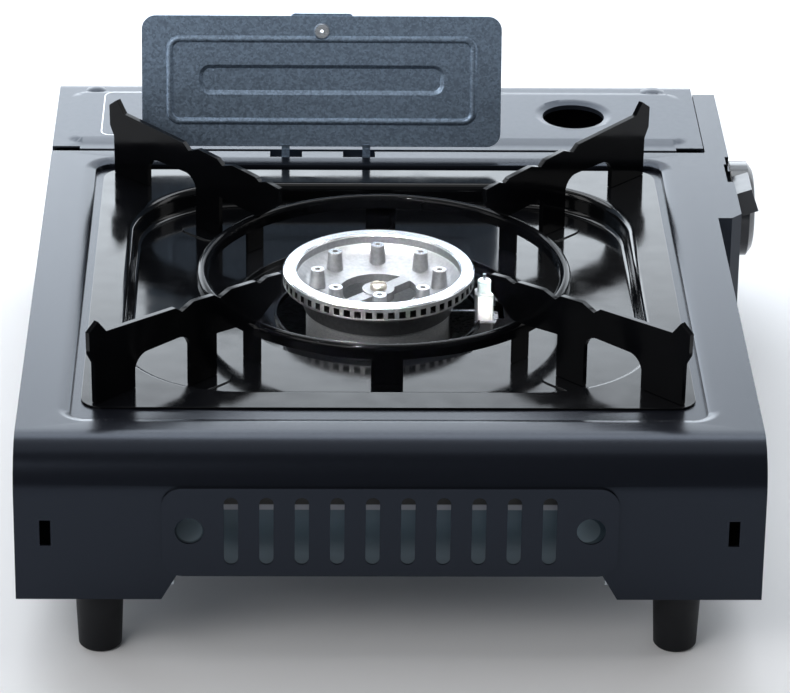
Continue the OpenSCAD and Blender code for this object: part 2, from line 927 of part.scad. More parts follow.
module arm_outline() {
    rise = arm_rise;
    difference() {
        polygon([[arm_in, rise - 17], [arm_in, rise - 10.2], [arm_at(0.076), rise - 9.4],
                 [arm_at(0.114), rise - 10.6], [arm_at(0.136), rise - 9.2], [arm_at(0.269), rise - 8.2],
                 [arm_at(0.328), rise - 10], [arm_at(0.358), rise - 7.9], [arm_at(0.466), rise - 7.1],
                 [arm_at(0.525), rise - 9.3], [arm_at(0.559), rise - 6.9], [arm_at(0.913), rise - 4.8],
                 [arm_reach - 4.4, rise], [arm_reach, rise - 3.2],
                 [arm_reach - 0.2, rise - 11.6], [arm_reach - 2.4, rise - 15.6], [arm_reach - 2.6, arm_stand],
                 [foot_in, arm_stand], [foot_in, 8], [leg_mid + leg_w2 / 2, 8],
                 [leg_mid + leg_w2 / 2, -well_depth + pad_h + arm_stand],
                 [leg_mid - leg_w2 / 2, -well_depth + pad_h + arm_stand],
                 [leg_mid - leg_w2 / 2, 8], [ring_r - 1, ring_rise], [ring_r - 4, ring_rise]]);
        // round-topped arch between the middle leg and the foot
        translate([(foot_in + leg_mid + leg_w2 / 2) / 2, 4])
            rounded(foot_in - leg_mid - leg_w2 / 2 + 0.02, 17, 6);
    }
}
arm_stand = 0.15;

// Flat stamped arm on one diagonal
module support_arm(turn) {
    color("#15181d")
        at_tray()
            rotate([0, 0, turn])
                translate([0, 0, tray_top])
                    along_y(arm_t)
                        arm_outline();
}

module support_arm_rear_right() {
    support_arm(45);
}

module support_arm_rear_left() {
    support_arm(135);
}

module support_arm_front_left() {
    support_arm(225);
}

module support_arm_front_right() {
    support_arm(315);
}

// Cast burner head: ported rim, dished floor, hollow posts and the bar across its throat
module burner_head() {
    dish_r = ring_in;
    floor_h = burner_top - 8.5;
    lip_h = burner_top - 6;
    skirt_h = burner_top - 15;
    port_h = 2.8;
    color("#c9cbcd")
        at_burner() {
            difference() {
                rotate_extrude()
                    polygon([[throat_r, floor_h - 3.5], [throat_r, floor_h - 0.6], [throat_r + 2, floor_h],
                             [dish_r - 4, floor_h + 1.6], [dish_r, floor_h + 5], [dish_r, burner_top - 0.6],
                             [dish_r + 0.6, burner_top], [burner_r - 0.6, burner_top],
                             [burner_r, burner_top - 0.6], [burner_r, lip_h + 0.8], [burner_r - 0.8, lip_h],
                             [bowl_r + 1, lip_h - 3.4], [bowl_r + 1, skirt_h], [bowl_r - 1.5, skirt_h],
                             [bowl_r - 1.5, floor_h - 2.3], [throat_r + 4, floor_h - 3.5]]);
                // flame slots
                for (i = [0:port_n - 1])
                    rotate([0, 0, (i + 0.5) * 360 / port_n])
                        translate([dish_r + 0.9, -1.25, lip_h + 1.2])
                            cube([8, 2.5, port_h]);
                for (i = [0:post_n - 1])
                    rotate([0, 0, 90 + i * 360 / post_n])
                        translate([post_circle, 0, floor_h - 6])
                            cylinder(r = 1.1, h = 20);
            }
            for (i = [0:post_n - 1])
                rotate([0, 0, 90 + i * 360 / post_n])
                    translate([post_circle, 0, floor_h - 0.5])
                        difference() {
                            cylinder(r1 = 3.2, r2 = 2.5, h = 8.5);
                            translate([0, 0, -eps])
                                cylinder(r = 1.1, h = 12);
                        }
            // bar with its boss across the throat
            difference() {
                rotate([0, 0, 45])
                    union() {
                        translate([-throat_r - 1, -2.5, floor_h - 3.5])
                            cube([2 * throat_r + 2, 5, 3]);
                        translate([0, 0, floor_h - 3.5])
                            cylinder(r = 6, h = 3.6);
                    }
                translate([0, 0, floor_h - 5])
                    cylinder(r = 2.1, h = 8);
            }
        }
}

// Pressed bowl below the head, which the mixing tube feeds
module burner_bowl() {
    top = burner_top - 15;
    wall = 1.2;
    color("#a9adb1")
        at_burner()
            difference() {
                rotate_extrude()
                    polygon([[0, bowl_bottom], [bowl_r - 6, bowl_bottom], [bowl_r, bowl_bottom + 7], [bowl_r, top],
                             [bowl_r - wall, top], [bowl_r - wall, bowl_bottom + 7.5],
                             [bowl_r - 6.5, bowl_bottom + wall], [0, bowl_bottom + wall]]);
                tube_axis()
                    translate([0, 0, bowl_r - 8])
                        cylinder(r = tube_r, h = 20);
            }
}

// Screw that clamps the head down, seen in the middle of the throat
module burner_screw() {
    floor_h = burner_top - 8.5;
    color("#8d9196")
        at_burner()
            difference() {
                union() {
                    translate([0, 0, bowl_bottom + 1.2])
                        cylinder(r = 2, h = floor_h - bowl_bottom - 1);
                    translate([0, 0, floor_h + 0.1])
                        rotate_extrude()
                            polygon([[0, 0], [3.2, 0], [3.2, 1.4], [2.5, 2.1], [0, 2.3]]);
                }
                translate([-5, -0.5, floor_h + 1.4])
                    cube([10, 1, 3]);
            }
}

// Bent sheet stand that carries the bowl on the base plate
module burner_stand() {
    w = 22;
    reach = stand_reach;
    color("#9aa0a6")
        at_burner()
            difference() {
                union() {
                    translate([-reach / 2, -w / 2, bowl_bottom - 1.5])
                        cube([reach, w, 1.5]);
                    for (s = [-1, 1])
                        translate([s * (reach / 2 - 0.75) - 0.75, -w / 2, base_top])
                            cube([1.5, w, bowl_bottom - base_top - 0.5]);
                    for (s = [-1, 1])
                        translate([s * (reach / 2 + 4) - 5, -w / 2, base_top])
                            cube([10, w, 1.5]);
                }
                translate([-burner_x, -burner_y, 0])
                    base_screw_holes();
            }
}

// The mixing tube runs from the jet near the partition to the burner's bowl
jet_x = half_w - 44;
jet_y = bay_front - 28;
tube_angle = atan2(jet_y - burner_y, jet_x - burner_x);
tube_end = norm([jet_x - burner_x, jet_y - burner_y]) - 8;

module tube_axis() {
    translate([0, 0, tube_h])
        rotate([0, 0, tube_angle])
            rotate([0, 90, 0])
                children();
}

// Flared venturi tube
module mixing_tube() {
    wall = 1;
    start = bowl_r - 3;
    color("#a9adb1")
        at_burner()
            tube_axis()
                rotate_extrude()
                    polygon([[tube_r - wall, start], [tube_r, start], [tube_r, tube_end - 14],
                             [tube_r - 2, tube_end - 9], [tube_r + 1.5, tube_end],
                             [tube_r + 0.5, tube_end], [tube_r - 3, tube_end - 9],
                             [tube_r - wall, tube_end - 14.4]]);
}

// Brass jet that blows into the tube's mouth, with its bracket
module gas_jet() {
    color("#c09a4a")
        at_burner()
            tube_axis() {
                difference() {
                    union() {
                        translate([0, 0, tube_end - 5])
                            cylinder(r1 = 1.5, r2 = 3.5, h = 5);
                        translate([0, 0, tube_end])
                            cylinder(r = 4.5, h = 8);
                    }
                    translate([0, 0, tube_end - 6])
                        cylinder(r = 0.5, h = 12);
                }
                // bracket down to the base plate
                translate([3.5, -5, tube_end + 2])
                    cube([tube_h - base_top - 3.5, 10, 4]);
            }
}

// Gas pipe from the regulator, through the partition, to the jet
module gas_pipe() {
    color("#b98b4e")
        in_frame() {
            straight = regulator_front - pipe_bend_y;
            translate([pipe_x, regulator_front - straight / 2, pipe_h])
                bar_y(pipe_r, straight);
            translate([pipe_x, pipe_bend_y, pipe_h])
                sphere(pipe_r + knuckle);
            pipe_leg();
        }
}

// End of the jet's body, in the frame of the body
jet_back = [burner_x + cos(tube_angle) * (tube_end + 8), burner_y + sin(tube_angle) * (tube_end + 8)];
stub_l = 3.5;
pipe_stub = jet_back + stub_l * [cos(tube_angle), sin(tube_angle)];
pipe_bend_y = jet_back[1] + 6;
regulator_front = bay_y - regulator_r - 8;

// Last leg of the pipe, from its bend up to the jet
module pipe_leg() {
    from = [pipe_x, pipe_bend_y, pipe_h];
    to = [pipe_stub[0], pipe_stub[1], tube_h];
    span = to - from;
    flat = norm([span[0], span[1]]);
    translate(from)
        rotate([0, 0, atan2(span[1], span[0])])
            rotate([0, 90 - atan2(span[2], flat), 0])
                cylinder(r = pipe_r, h = norm(span));
    translate(to)
        sphere(pipe_r + knuckle);
    translate([burner_x, burner_y, 0])
        tube_axis()
            translate([0, 0, tube_end + 8])
                cylinder(r = pipe_r, h = stub_l);
}

// White ceramic insulator of the igniter
ceramic_w = 7;
ceramic_l = 18.8;
module igniter_ceramic() {
    color("#efeeea")
        at_burner()
            translate([igniter_x, 0, igniter_h])
                difference() {
                    union() {
                        plate(ceramic_w, ceramic_w, ceramic_l - 5, 1.5);
                        rotate_extrude()
                            polygon([[0, 2], [2.6, 2], [2.6, ceramic_l - 0.5], [2.1, ceramic_l], [0, ceramic_l]]);
                    }
                    translate([0, 0, -eps])
                        cylinder(r = needle_r, h = 30);
                }
}

// Steel needle that the spark jumps from
needle_r = 0.6;
needle_low = igniter_h - 2;
needle_l = ceramic_l + 4.2;
module igniter_needle() {
    color("#9a9da1")
        at_burner()
            translate([igniter_x, 0, needle_low])
                cylinder(r = needle_r, h = needle_l);
}

// Sheet bracket that holds the ceramic against the bowl
module igniter_bracket() {
    color("#8f9499")
        at_burner()
            difference() {
                union() {
                    translate([bowl_r, -5, igniter_h - 3])
                        cube([1, 10, 10]);
                    translate([bowl_r, -5, igniter_h + 2])
                        cube([igniter_x - bowl_r + 5.5, 10, 1.2]);
                    // cheek beside the ceramic
                    translate([bowl_r, -5, igniter_h - 1])
                        cube([igniter_x - bowl_r - 3.5, 1.2, 9]);
                }
                translate([igniter_x, 0, igniter_h])
                    linear_extrude(height = 12, center = true)
                        rounded(ceramic_w, ceramic_w, 1.5);
            }
}

// Igniter lead, from the piezo unit to the ceramic
lead_r = 1.2;
lead_h = base_top + 8;
lead_low = base_top + 1.4;
lead_y = bay_front - 40;
lead_in = half_w - 8;
lead_x = burner_x + igniter_x;
lead_points = [[piezo_x, knob_y + 42, knob_h - 4], [piezo_x, knob_y + 42, panel_low + 4],
               [piezo_x, lead_y, panel_low + 4], [piezo_x, lead_y, lead_h], [lead_in, lead_y, lead_h],
               [lead_in, lead_y, lead_low], [lead_x, lead_y, lead_low], [lead_x, burner_y, lead_low],
               [lead_x, burner_y, needle_low]];

// Round bar between two points, with a ball at its end
module lead_leg(a, b) {
    span = b - a;
    flat = norm([span[0], span[1]]);
    translate(a)
        rotate([0, 0, flat > 0 ? atan2(span[1], span[0]) : 0])
            rotate([0, 90 - atan2(span[2], flat), 0])
                cylinder(r = lead_r, h = norm(span));
}

module igniter_lead() {
    color("#d9d4c8")
        in_frame() {
            for (i = [1:len(lead_points) - 1])
                lead_leg(lead_points[i - 1], lead_points[i]);
            for (i = [1:len(lead_points) - 2])
                translate(lead_points[i])
                    sphere(lead_r + knuckle);
        }
}

// Piezo igniter body behind the panel
piezo_front = knob_y + cam_low + cam_rise + 8;
piezo_l = knob_y + 47 - piezo_front;
plunger_w = 4;
module piezo_unit() {
    color("#2b2b2e")
        in_frame()
            difference() {
                translate([half_w, piezo_front, knob_h - 4])
                    cube([piezo_x + piezo_w / 2 - half_w, piezo_l, 8]);
                translate([piezo_x - plunger_w / 2 - slip, piezo_front - eps, knob_h - plunger_w / 2 - slip])
                    cube([plunger_w + 2 * slip, cam_rise + 11, plunger_w + 2 * slip]);
            }
}

// Plunger that the cam pushes into the piezo unit
module piezo_plunger() {
    tip = knob_y + cam_low + slip;
    color("#e6e2d6")
        in_frame()
            translate([piezo_x, 0, knob_h])
                rotate([0, 90, 0])
                    linear_extrude(height = plunger_w, center = true) {
                        translate([-plunger_w / 2, tip + 1])
                            square([plunger_w, piezo_front + 3 - tip]);
                        translate([0, tip + 1])
                            circle(1);
                    }
}

// Painted box on the right end that carries knob and lever
module control_panel() {
    color("#1f242c")
        in_frame()
            difference() {
                translate([half_w, 0, panel_low])
                    linear_extrude(height = deck_h - panel_low)
                        panel_plan(0);
                translate([half_w, 0, panel_low + sheet])
                    linear_extrude(height = deck_h - panel_low - 2 * sheet)
                        panel_plan(sheet);
                translate([panel_face, knob_y, knob_h])
                    bar_x(shaft_r + 0.6, 6);
                // slot that the lever's tab slides in, open at the top edge
                translate([panel_face - 2.6, lever_y - 0.6, slot_low])
                    cube([6, lever_w + 1.2, deck_h]);
                translate([panel_face - 1.6, lever_y + lever_w - 1, deck_h - 3])
                    cube([6, 9, deck_h]);
                // gap beside the lid
                translate([half_w - eps, lid_front - 0.6, lid_skirt_h - 0.8])
                    cube([eps + 0.4, lid_d, deck_h]);
                for (p = panel_screw_places)
                    translate([panel_face, p[0], p[1]])
                        bar_x(screw_r, 6);
            }
}

// Plan of the control panel box, or of its hollow when it is inset by the sheet
module panel_plan(inset) {
    chamfer = 4;
    turn = inset * (sqrt(2) - 1);
    low = inset > 0 ? -eps : 0;
    polygon([[low, panel_front + inset], [panel_t - chamfer - turn, panel_front + inset],
             [panel_t - inset, panel_front + chamfer + turn],
             [panel_t - inset, panel_rear - inset], [low, panel_rear - inset]]);
}

// Control knob with a dished face and a grip bar
module knob() {
    back = panel_face + knob_gap;
    color("#16181c")
        in_frame()
            translate([back, knob_y, knob_h])
                rotate([0, 90, 0])
                    difference() {
                        union() {
                            rotate_extrude()
                                polygon([[shaft_r, 0], [knob_r, 0], [knob_r, knob_t - 2.4],
                                         [knob_r - 3, knob_t - 0.3], [knob_r - 4, knob_t],
                                         [knob_r - 5.5, knob_t], [knob_r - 7, knob_t - 3.5],
                                         [shaft_r, knob_t - 3.5]]);
                            // grip bar across the dish
                            translate([-knob_r + 6, -3.5, knob_t - 4])
                                cube([2 * knob_r - 12, 7, 3.6]);
                            cylinder(r = 7, h = knob_t - 1);
                        }
                        translate([0, 0, -eps])
                            cylinder(r = shaft_r, h = knob_t - 2);
                        // hollow back
                        translate([0, 0, -eps])
                            difference() {
                                cylinder(r = knob_r - 1.6, h = knob_t - 4.5);
                                cylinder(r = 6, h = knob_t);
                            }
                    }
}

// Steel shaft from the regulator's valve to the knob
module knob_shaft() {
    tail = half_w - 14;
    head = panel_face + knob_gap + knob_t - 3;
    color("#b9bdc2")
        in_frame()
            translate([(head + tail) / 2, knob_y, knob_h])
                bar_x(shaft_r, head - tail);
}

// Radius of the cam at an angle in degrees behind its lowest point
function cam_r(a) = cam_low + cam_rise * min(max(a, 0), cam_turn) / cam_turn;

// Cam whose radius grows evenly as the knob turns
module knob_cam() {
    step = 4;
    color("#e6e2d6")
        in_frame()
            translate([piezo_x, knob_y, knob_h])
                rotate([0, 90, 0])
                    linear_extrude(height = cam_t, center = true)
                        difference() {
                            polygon([for (a = [-step:step:360 - 5 * step])
                                     let (r = a > cam_turn + step ? cam_low + cam_rise - (a - cam_turn - step)
                                              * cam_rise / (360 - 6 * step - cam_turn) : cam_r(a))
                                     [r * sin(a), r * cos(a)]]);
                            circle(shaft_r);
                        }
}

// Cast regulator with its valve block and the socket for the canister
module regulator() {
    long = half_w - sheet - wall_step - regulator_x;
    color("#a3a6a9")
        in_frame()
            difference() {
                union() {
                    translate([regulator_x + 6 + (long - 6) / 2, bay_y, canister_h])
                        bar_x(regulator_r, long - 6);
                    translate([regulator_x + 3, bay_y, canister_h])
                        bar_x(15, 6);
                    // valve block on the knob's axis
                    translate([regulator_x + 8 + (long - 8) / 2, knob_y, knob_h])
                        bar_x(9, long - 8);
                    translate([regulator_x + 8, knob_y, knob_h - 9])
                        cube([long - 8, bay_y - knob_y - 8, 14]);
                    // outlet boss towards the burner bay
                    translate([pipe_x - 6, regulator_front, pipe_h - 5])
                        cube([12, 20, 12]);
                }
                translate([regulator_x + 2, bay_y, canister_h])
                    bar_x(9, 12);
                translate([half_w, knob_y, knob_h])
                    bar_x(shaft_r + run, 2 * 14.5);
                translate([pipe_x, regulator_front, pipe_h])
                    bar_y(1.5, 20);
            }
}

// Rubber ring in the regulator's socket
module regulator_seal() {
    color("#2a2a2c")
        in_frame()
            translate([regulator_x + 6.5, bay_y, canister_h])
                difference() {
                    bar_x(9, 3);
                    bar_x(4, 8);
                }
}

// Lock lever: sheet plate whose slanted slot drives the carriage
module lock_lever() {
    inner = pin_x - 8;
    low = pin_h - 6;
    color("#9aa0a6")
        in_frame()
            difference() {
                union() {
                    translate([inner, lever_y, low])
                        cube([half_w - sheet - 0.8 - inner, lever_t, lever_top - low]);
                    // arm that passes the slot in the end
                    translate([half_w - 5, lever_y, lever_top - tab_drop])
                        cube([panel_face + tab_gap - half_w + 5, lever_t, tab_drop]);
                }
                drive_slot();
            }
}

// Moulded finger tab on the lever's end: a sloping top that turns down at the front
tab_gap = 0.9;
module lever_tab() {
    wide = 6.6;
    color("#1d2026")
        in_frame() {
            translate([panel_face + tab_gap, 0, lever_top])
                rotate([0, -19, 0])
                    translate([wide / 2, 0, 0])
                        along_x(wide)
                            polygon([[lever_y - 1, 0.4], [lever_y + lever_w, 0.4], [lever_y + lever_w, -1],
                                     [lever_y + 0.4, -1], [lever_y + 0.4, -9.4], [lever_y - 1, -9.4]]);
            // root on the end of the lever's arm
            translate([panel_face + tab_gap, lever_y - 0.6, lever_top - 8])
                cube([3, 1.8, 7.4]);
        }
}

// Slanted slot: as the lever goes down by its travel, the pin moves right by the carriage's
module drive_slot() {
    slope = atan2(lever_travel, carriage_travel);
    long = norm([lever_travel, carriage_travel]);
    translate([pin_x, lever_y + lever_t / 2, pin_h])
        rotate([0, -slope, 0]) {
            bar_y(pin_r + run, 4);
            translate([long, 0, 0])
                bar_y(pin_r + run, 4);
            translate([0, -2, -pin_r - run])
                cube([long, 4, 2 * pin_r + 2 * run]);
        }
}

// Two plastic ribs on the right end that the lever's plate slides between
module lever_guide() {
    rib = 2;
    color("#2b2b2e")
        in_frame()
            for (y = [lever_y - slip - rib, lever_y + lever_t + slip])
                translate([half_w - sheet - 9, y, slot_low - 8])
                    cube([9, rib, lever_top - slot_low + 9]);
}

// Carriage that pulls the canister's collar into the regulator when the lever goes down
module canister_carriage() {
    fork_x = regulator_x - carriage_travel - 4;
    fork_w = 2 * (bay_y - trough_front - 0.8);
    collar_r = 17;
    color("#9aa0a6")
        in_frame()
            difference() {
                union() {
                    translate([fork_x, bay_y - fork_w / 2, trough_h + sheet + slip])
                        cube([1.5, fork_w, canister_h - trough_h + 8]);
                    // arm beside the regulator
                    translate([fork_x, arm_y, pin_h - 8])
                        cube([pin_x + 5 - fork_x, 1.5, 16]);
                    translate([fork_x, arm_y, pin_h - 8])
                        cube([1.5, bay_y - fork_w / 2 + 1 - arm_y, 16]);
                    // drive pin through the partition into the lever's slot
                    translate([pin_x, (arm_y + lever_y - 0.5) / 2, pin_h])
                        bar_y(pin_r, arm_y - lever_y + 0.5);
                }
                translate([fork_x, bay_y, canister_h])
                    bar_x(collar_r, 6);
                translate([fork_x - 2, bay_y - collar_r, canister_h])
                    cube([6, 2 * collar_r, 60]);
            }
}

// Feet
screw_r = 2;
foot_x = half_w - 28.5;
foot_front = front_y + 13;
foot_rear = rear_y - 28;
foot_places = [[-foot_x, foot_front], [foot_x, foot_front], [-foot_x, foot_rear], [foot_x, foot_rear]];

// Tapered rubber foot with a screw well in its sole
module foot(p, top) {
    sole = 7.6;
    head = 8.8;
    edge = 1;
    color("#0d0e10")
        in_frame()
            translate([p[0], p[1], 0])
                rotate_extrude()
                    polygon([[screw_r, 4], [4.5, 4], [4.5, 0], [sole - edge, 0], [sole, edge],
                             [head, top], [screw_r, top]]);
}

module foot_front_left() {
    foot(foot_places[0], base_h);
}

module foot_front_right() {
    foot(foot_places[1], base_h);
}

module foot_rear_left() {
    foot(foot_places[2], trough_h);
}

module foot_rear_right() {
    foot(foot_places[3], trough_h);
}

// Screws that hold the feet
module foot_screws() {
    color("#8d9196")
        in_frame()
            for (p = foot_places)
                translate([p[0], p[1], 0])
                    rotate_extrude()
                        polygon([[0, 1.6], [3.4, 1.6], [4, 2.4], [4, 4], [screw_r, 4],
                                 [screw_r, foot_plate(p) + 3], [0, foot_plate(p) + 3]]);
}

// Height of the sheet that a foot is screwed to
function foot_plate(p) = p[1] < bay_front ? base_top : trough_h + sheet;

// Pan-head screws below the base plate, two for the louvre plate and two for the burner's stand
module base_screws() {
    color("#8d9196")
        in_frame()
            for (p = base_screw_places)
                translate([p[0], p[1], base_h])
                    rotate_extrude()
                        polygon([[0, -1.8], [1.8, -1.8], [3.2, -1], [3.2, 0], [base_screw_r, 0],
                                 [base_screw_r, base_t + 3.5], [0, base_t + 3.5]]);
}

// Holes for the base screws, in the frame of the body
base_screw_r = 1.5;
stand_reach = 44;
base_screw_places = [[-60, front_y + 19], [60, front_y + 19], [burner_x - stand_reach / 2 - 4, burner_y],
                     [burner_x + stand_reach / 2 + 4, burner_y]];
module base_screw_holes() {
    for (p = base_screw_places)
        translate([p[0], p[1], base_h])
            cylinder(r = base_screw_r, h = 20, center = true);
}

// Screws in the face of the control panel
panel_screw_places = [[panel_front + 10, panel_low + 8], [panel_rear - 5, panel_low + 8]];
module panel_screws() {
    color("#3a3f47")
        in_frame()
            for (p = panel_screw_places)
                translate([panel_face, p[0], p[1]])
                    rotate([0, 90, 0])
                        difference() {
                            union() {
                                cylinder(r1 = 3.4, r2 = 2.4, h = 1.6);
                                translate([0, 0, -panel_t])
                                    cylinder(r = screw_r, h = panel_t);
                            }
                            translate([0, 0, 1.6])
                                cube([4, 0.8, 1.6], center = true);
                            translate([0, 0, 1.6])
                                cube([0.8, 4, 1.6], center = true);
                        }
}

body_shell();
base_plate();
bay_partition();
canister_trough();
canister_saddles();
louvre_plate();
canister_lid();
lid_hinge_pins();
heat_shield();
shield_clip();
shield_rivet();
shield_sockets();
drip_tray();
support_ring();
support_arm_rear_right();
support_arm_rear_left();
support_arm_front_left();
support_arm_front_right();
burner_head();
burner_bowl();
burner_screw();
burner_stand();
mixing_tube();
gas_jet();
gas_pipe();
igniter_ceramic();
igniter_needle();
igniter_bracket();
igniter_lead();
piezo_unit();
piezo_plunger();
control_panel();
knob();
knob_shaft();
knob_cam();
regulator();
regulator_seal();
lock_lever();
lever_tab();
lever_guide();
canister_carriage();
foot_front_left();
foot_front_right();
foot_rear_left();
foot_rear_right();
foot_screws();
base_screws();
panel_screws();
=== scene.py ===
"""Dresses the butane cassette stove and sets its stage.

Each operator finishes one piece or one group of like pieces. The finishes are paint, enamel, zinc
and cast metal. The small forms are rounded edges, cross-recess screws, the ribs of the shield's
legs and the line round the label place.
"""

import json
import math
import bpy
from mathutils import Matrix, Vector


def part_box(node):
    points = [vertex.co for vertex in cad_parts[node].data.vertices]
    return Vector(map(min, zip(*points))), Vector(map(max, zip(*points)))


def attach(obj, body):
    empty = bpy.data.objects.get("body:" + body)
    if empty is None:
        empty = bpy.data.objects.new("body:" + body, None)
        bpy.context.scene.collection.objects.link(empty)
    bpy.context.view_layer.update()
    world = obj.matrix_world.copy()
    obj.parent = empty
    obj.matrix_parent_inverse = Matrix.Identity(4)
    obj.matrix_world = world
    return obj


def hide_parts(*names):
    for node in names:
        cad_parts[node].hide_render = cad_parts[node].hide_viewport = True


bl_info = {
    "name": "Butane cassette stove",
    "version": (1, 0, 0),
    "blender": (4, 5, 0),
    "location": "View3D > Sidebar > Stove",
    "description": "Finishes the stove's pieces and sets its stage",
    "category": "Object",
}

import bmesh
import bpy
from bpy.props import FloatProperty, FloatVectorProperty, IntProperty, PointerProperty
from bpy.types import Operator, Panel, PropertyGroup
from mathutils import Matrix, Vector

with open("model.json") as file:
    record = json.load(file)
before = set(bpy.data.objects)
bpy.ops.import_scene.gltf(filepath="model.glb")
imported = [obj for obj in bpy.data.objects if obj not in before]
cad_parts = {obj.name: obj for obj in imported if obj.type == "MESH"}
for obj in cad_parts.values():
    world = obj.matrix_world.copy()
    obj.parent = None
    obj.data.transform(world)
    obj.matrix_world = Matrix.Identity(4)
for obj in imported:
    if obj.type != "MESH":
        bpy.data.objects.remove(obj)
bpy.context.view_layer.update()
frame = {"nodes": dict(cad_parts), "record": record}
BODY_OF = {n: b for b, nodes in frame["record"]["behaviour"]["bodies"].items() for n in nodes}
SLOT_OF = {s["node"]: s["material_slot"] for s in frame["record"]["subparts"]}

# Lengths are in metres and angles in degrees

# Burner head: top, radius of the dish, the flame slots' band, and how dark the painted shade inside
# the slots is
BURNER_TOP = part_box("burner_head")[1].z
DISH = 0.0305
PORTS_HIGH = BURNER_TOP - 0.002
PORTS_LOW = BURNER_TOP - 0.005
PORT_SHADE = 0.05

# Louvre plate: start and height of the painted highlight along its edge, and the painted light disc
# behind each sight hole
PLATE_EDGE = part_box("louvre_plate")[1].z - 0.0066
PLATE_GLINT = 0.002
SIGHTS = (-0.0803, 0.0587)
SIGHT_Z = 0.0449
SIGHT_RADIUS = 0.0044

# Heat shield's legs: middle of each, height of the part at their foot, and their ribs
LEGS = (-0.0475, -0.0155)
LEG_FOOT = 0.004
LEG_TOP = 0.0862
RIBS = 13
RIB_WIDTH = 0.0027

# Corners of the label place on the lid
LABEL_LOW = Vector((-0.1215, 0.1095))
LABEL_HIGH = Vector((0.0145, 0.1550))

CORNERS = ("front_left", "front_right", "rear_left", "rear_right")

# Node, axis, head radius, crown radius, head height and shank radius of each kind of screw
SCREWS = (
    ("panel_screws", "x", 0.0034, 0.0024, 0.0016, 0.002),
    ("base_screws", "z", 0.0032, 0.0022, 0.0018, 0.0015),
    ("foot_screws", "z", 0.004, 0.0032, 0.0024, 0.002),
)

# Copies of CAD meshes: points this near merge, edges this short and bends this flat are dropped
WELD = 2e-6
SHORTEST = 1e-6
FLATTEST = 0.3

# Bends from which an edge is rounded, and those from which shading stays sharp
ROUNDED_FROM = 32
CREASE = 32
SHEET_CREASE = 11
RIVET_CREASE = 40
GROWN_CREASE = 35

# Stage: half the floor's width, colour and aim of the lamps, the narrow lamp's spread, the camera
FLOOR_HALF = 6.0
COOL = (0.9, 0.95, 1.0)
LAMP_AIM = (0, 0, 0.05)
SIDE_AIM = (0, 0, 0.06)
SNOOT_SPREAD = 4.5
CAMERA_PLACE = (-0.04406, -1.4835, 0.7458)
CAMERA_PITCH, CAMERA_YAW, CAMERA_ROLL = 25.38, 1.494, 0.801


def colour(label, told, value):
    """A paint or metal colour that the user can change."""
    return FloatVectorProperty(
        name=label, description=told, subtype="COLOR", size=3, min=0, max=1, default=value
    )


def length(label, told, value, limit):
    """A length that the user can change."""
    return FloatProperty(
        name=label, description=told, unit="LENGTH", default=value, min=0, max=limit, precision=5
    )


def power(label, told, value):
    """A lamp's power that the user can change."""
    return FloatProperty(name=label, description=told, unit="POWER", default=value, min=0)


class StoveFinish(PropertyGroup):
    """Colours and edge radii of the stove."""

    paint: colour("Body paint", "Paint of the body and the control panel", (0.005, 0.0056, 0.008))
    lid_paint: colour("Lid paint", "Paint of the canister lid", (0.02, 0.023, 0.03))
    gloss: colour("Gloss tint", "Tint of the gloss on the dark paint", (0.66, 0.78, 1.0))
    plate: colour("Louvre plate", "Paint of the plate behind the louvres", (0.04, 0.065, 0.085))
    enamel: colour("Enamel", "Enamel of the tray and the pan support", (0.0022, 0.0024, 0.003))
    zinc: colour("Zinc", "Galvanized sheet", (0.36, 0.39, 0.42))
    shield_zinc: colour("Shield", "Galvanized sheet of the heat shield", (0.27, 0.35, 0.455))
    casting: colour("Casting", "Die-cast aluminium of the burner", (0.5, 0.51, 0.53))
    brass: colour("Brass", "Jet and gas pipe", (0.55, 0.37, 0.14))
    nickel: colour("Nickel", "Plating of the burner's screw", (0.6, 0.55, 0.48))
    plastic: colour("Plastic", "Knob and lever tab", (0.02, 0.022, 0.028))
    rubber: colour("Rubber", "Feet and seal", (0.004, 0.0045, 0.006))
    ceramic: colour("Ceramic", "Insulator of the igniter", (0.93, 0.94, 0.96))
    sheet_edge: length("Sheet edge", "Rounding of the pressed sheet's edges", 0.00025, 0.0005)
    plate_edge: length("Arm edge", "Rounding of the support arms' edges", 0.0004, 0.0008)
    cast_edge: length("Cast edge", "Rounding of the burner's edges", 0.0002, 0.0005)


class StoveScrews(PropertyGroup):
    """Sizes of the cross-recess screws and of the ribs on the shield's legs."""

    recess: length("Recess", "Width of the cross recess", 0.0009, 0.002)
    depth: length("Recess depth", "Depth of the cross recess", 0.0009, 0.002)
    sides: IntProperty(
        name="Sides", description="Segments of a screw head", default=40, min=12, max=96
    )
    rib: length("Rib", "Radius of a rib on the shield's legs", 0.00015, 0.0004)
    rib_step: length("Rib step", "Distance between the ribs on the shield's legs", 0.0006, 0.003)


class StoveStage(PropertyGroup):
    """Lights and lens."""

    world: FloatProperty(
        name="World", description="Strength of the light from all round", default=0.16, min=0
    )
    board: FloatProperty(
        name="Board", description="Glow of the card behind the stove", default=6.1, min=0
    )
    strip: power("Rear strip", "Power of the strip above the lid", 22)
    key: power("Overhead", "Power of the overhead softbox", 3.5)
    fill: power("Fill", "Power of the front fill", 11)
    rim: power("Side", "Power of each of the two side strips", 3)
    snoot: power("Snoot", "Power of the narrow lamp on the burner", 0.12)
    lens: FloatProperty(
        name="Lens", description="Focal length of the camera", default=195.73, min=20, unit="CAMERA"
    )


# ---- materials ----


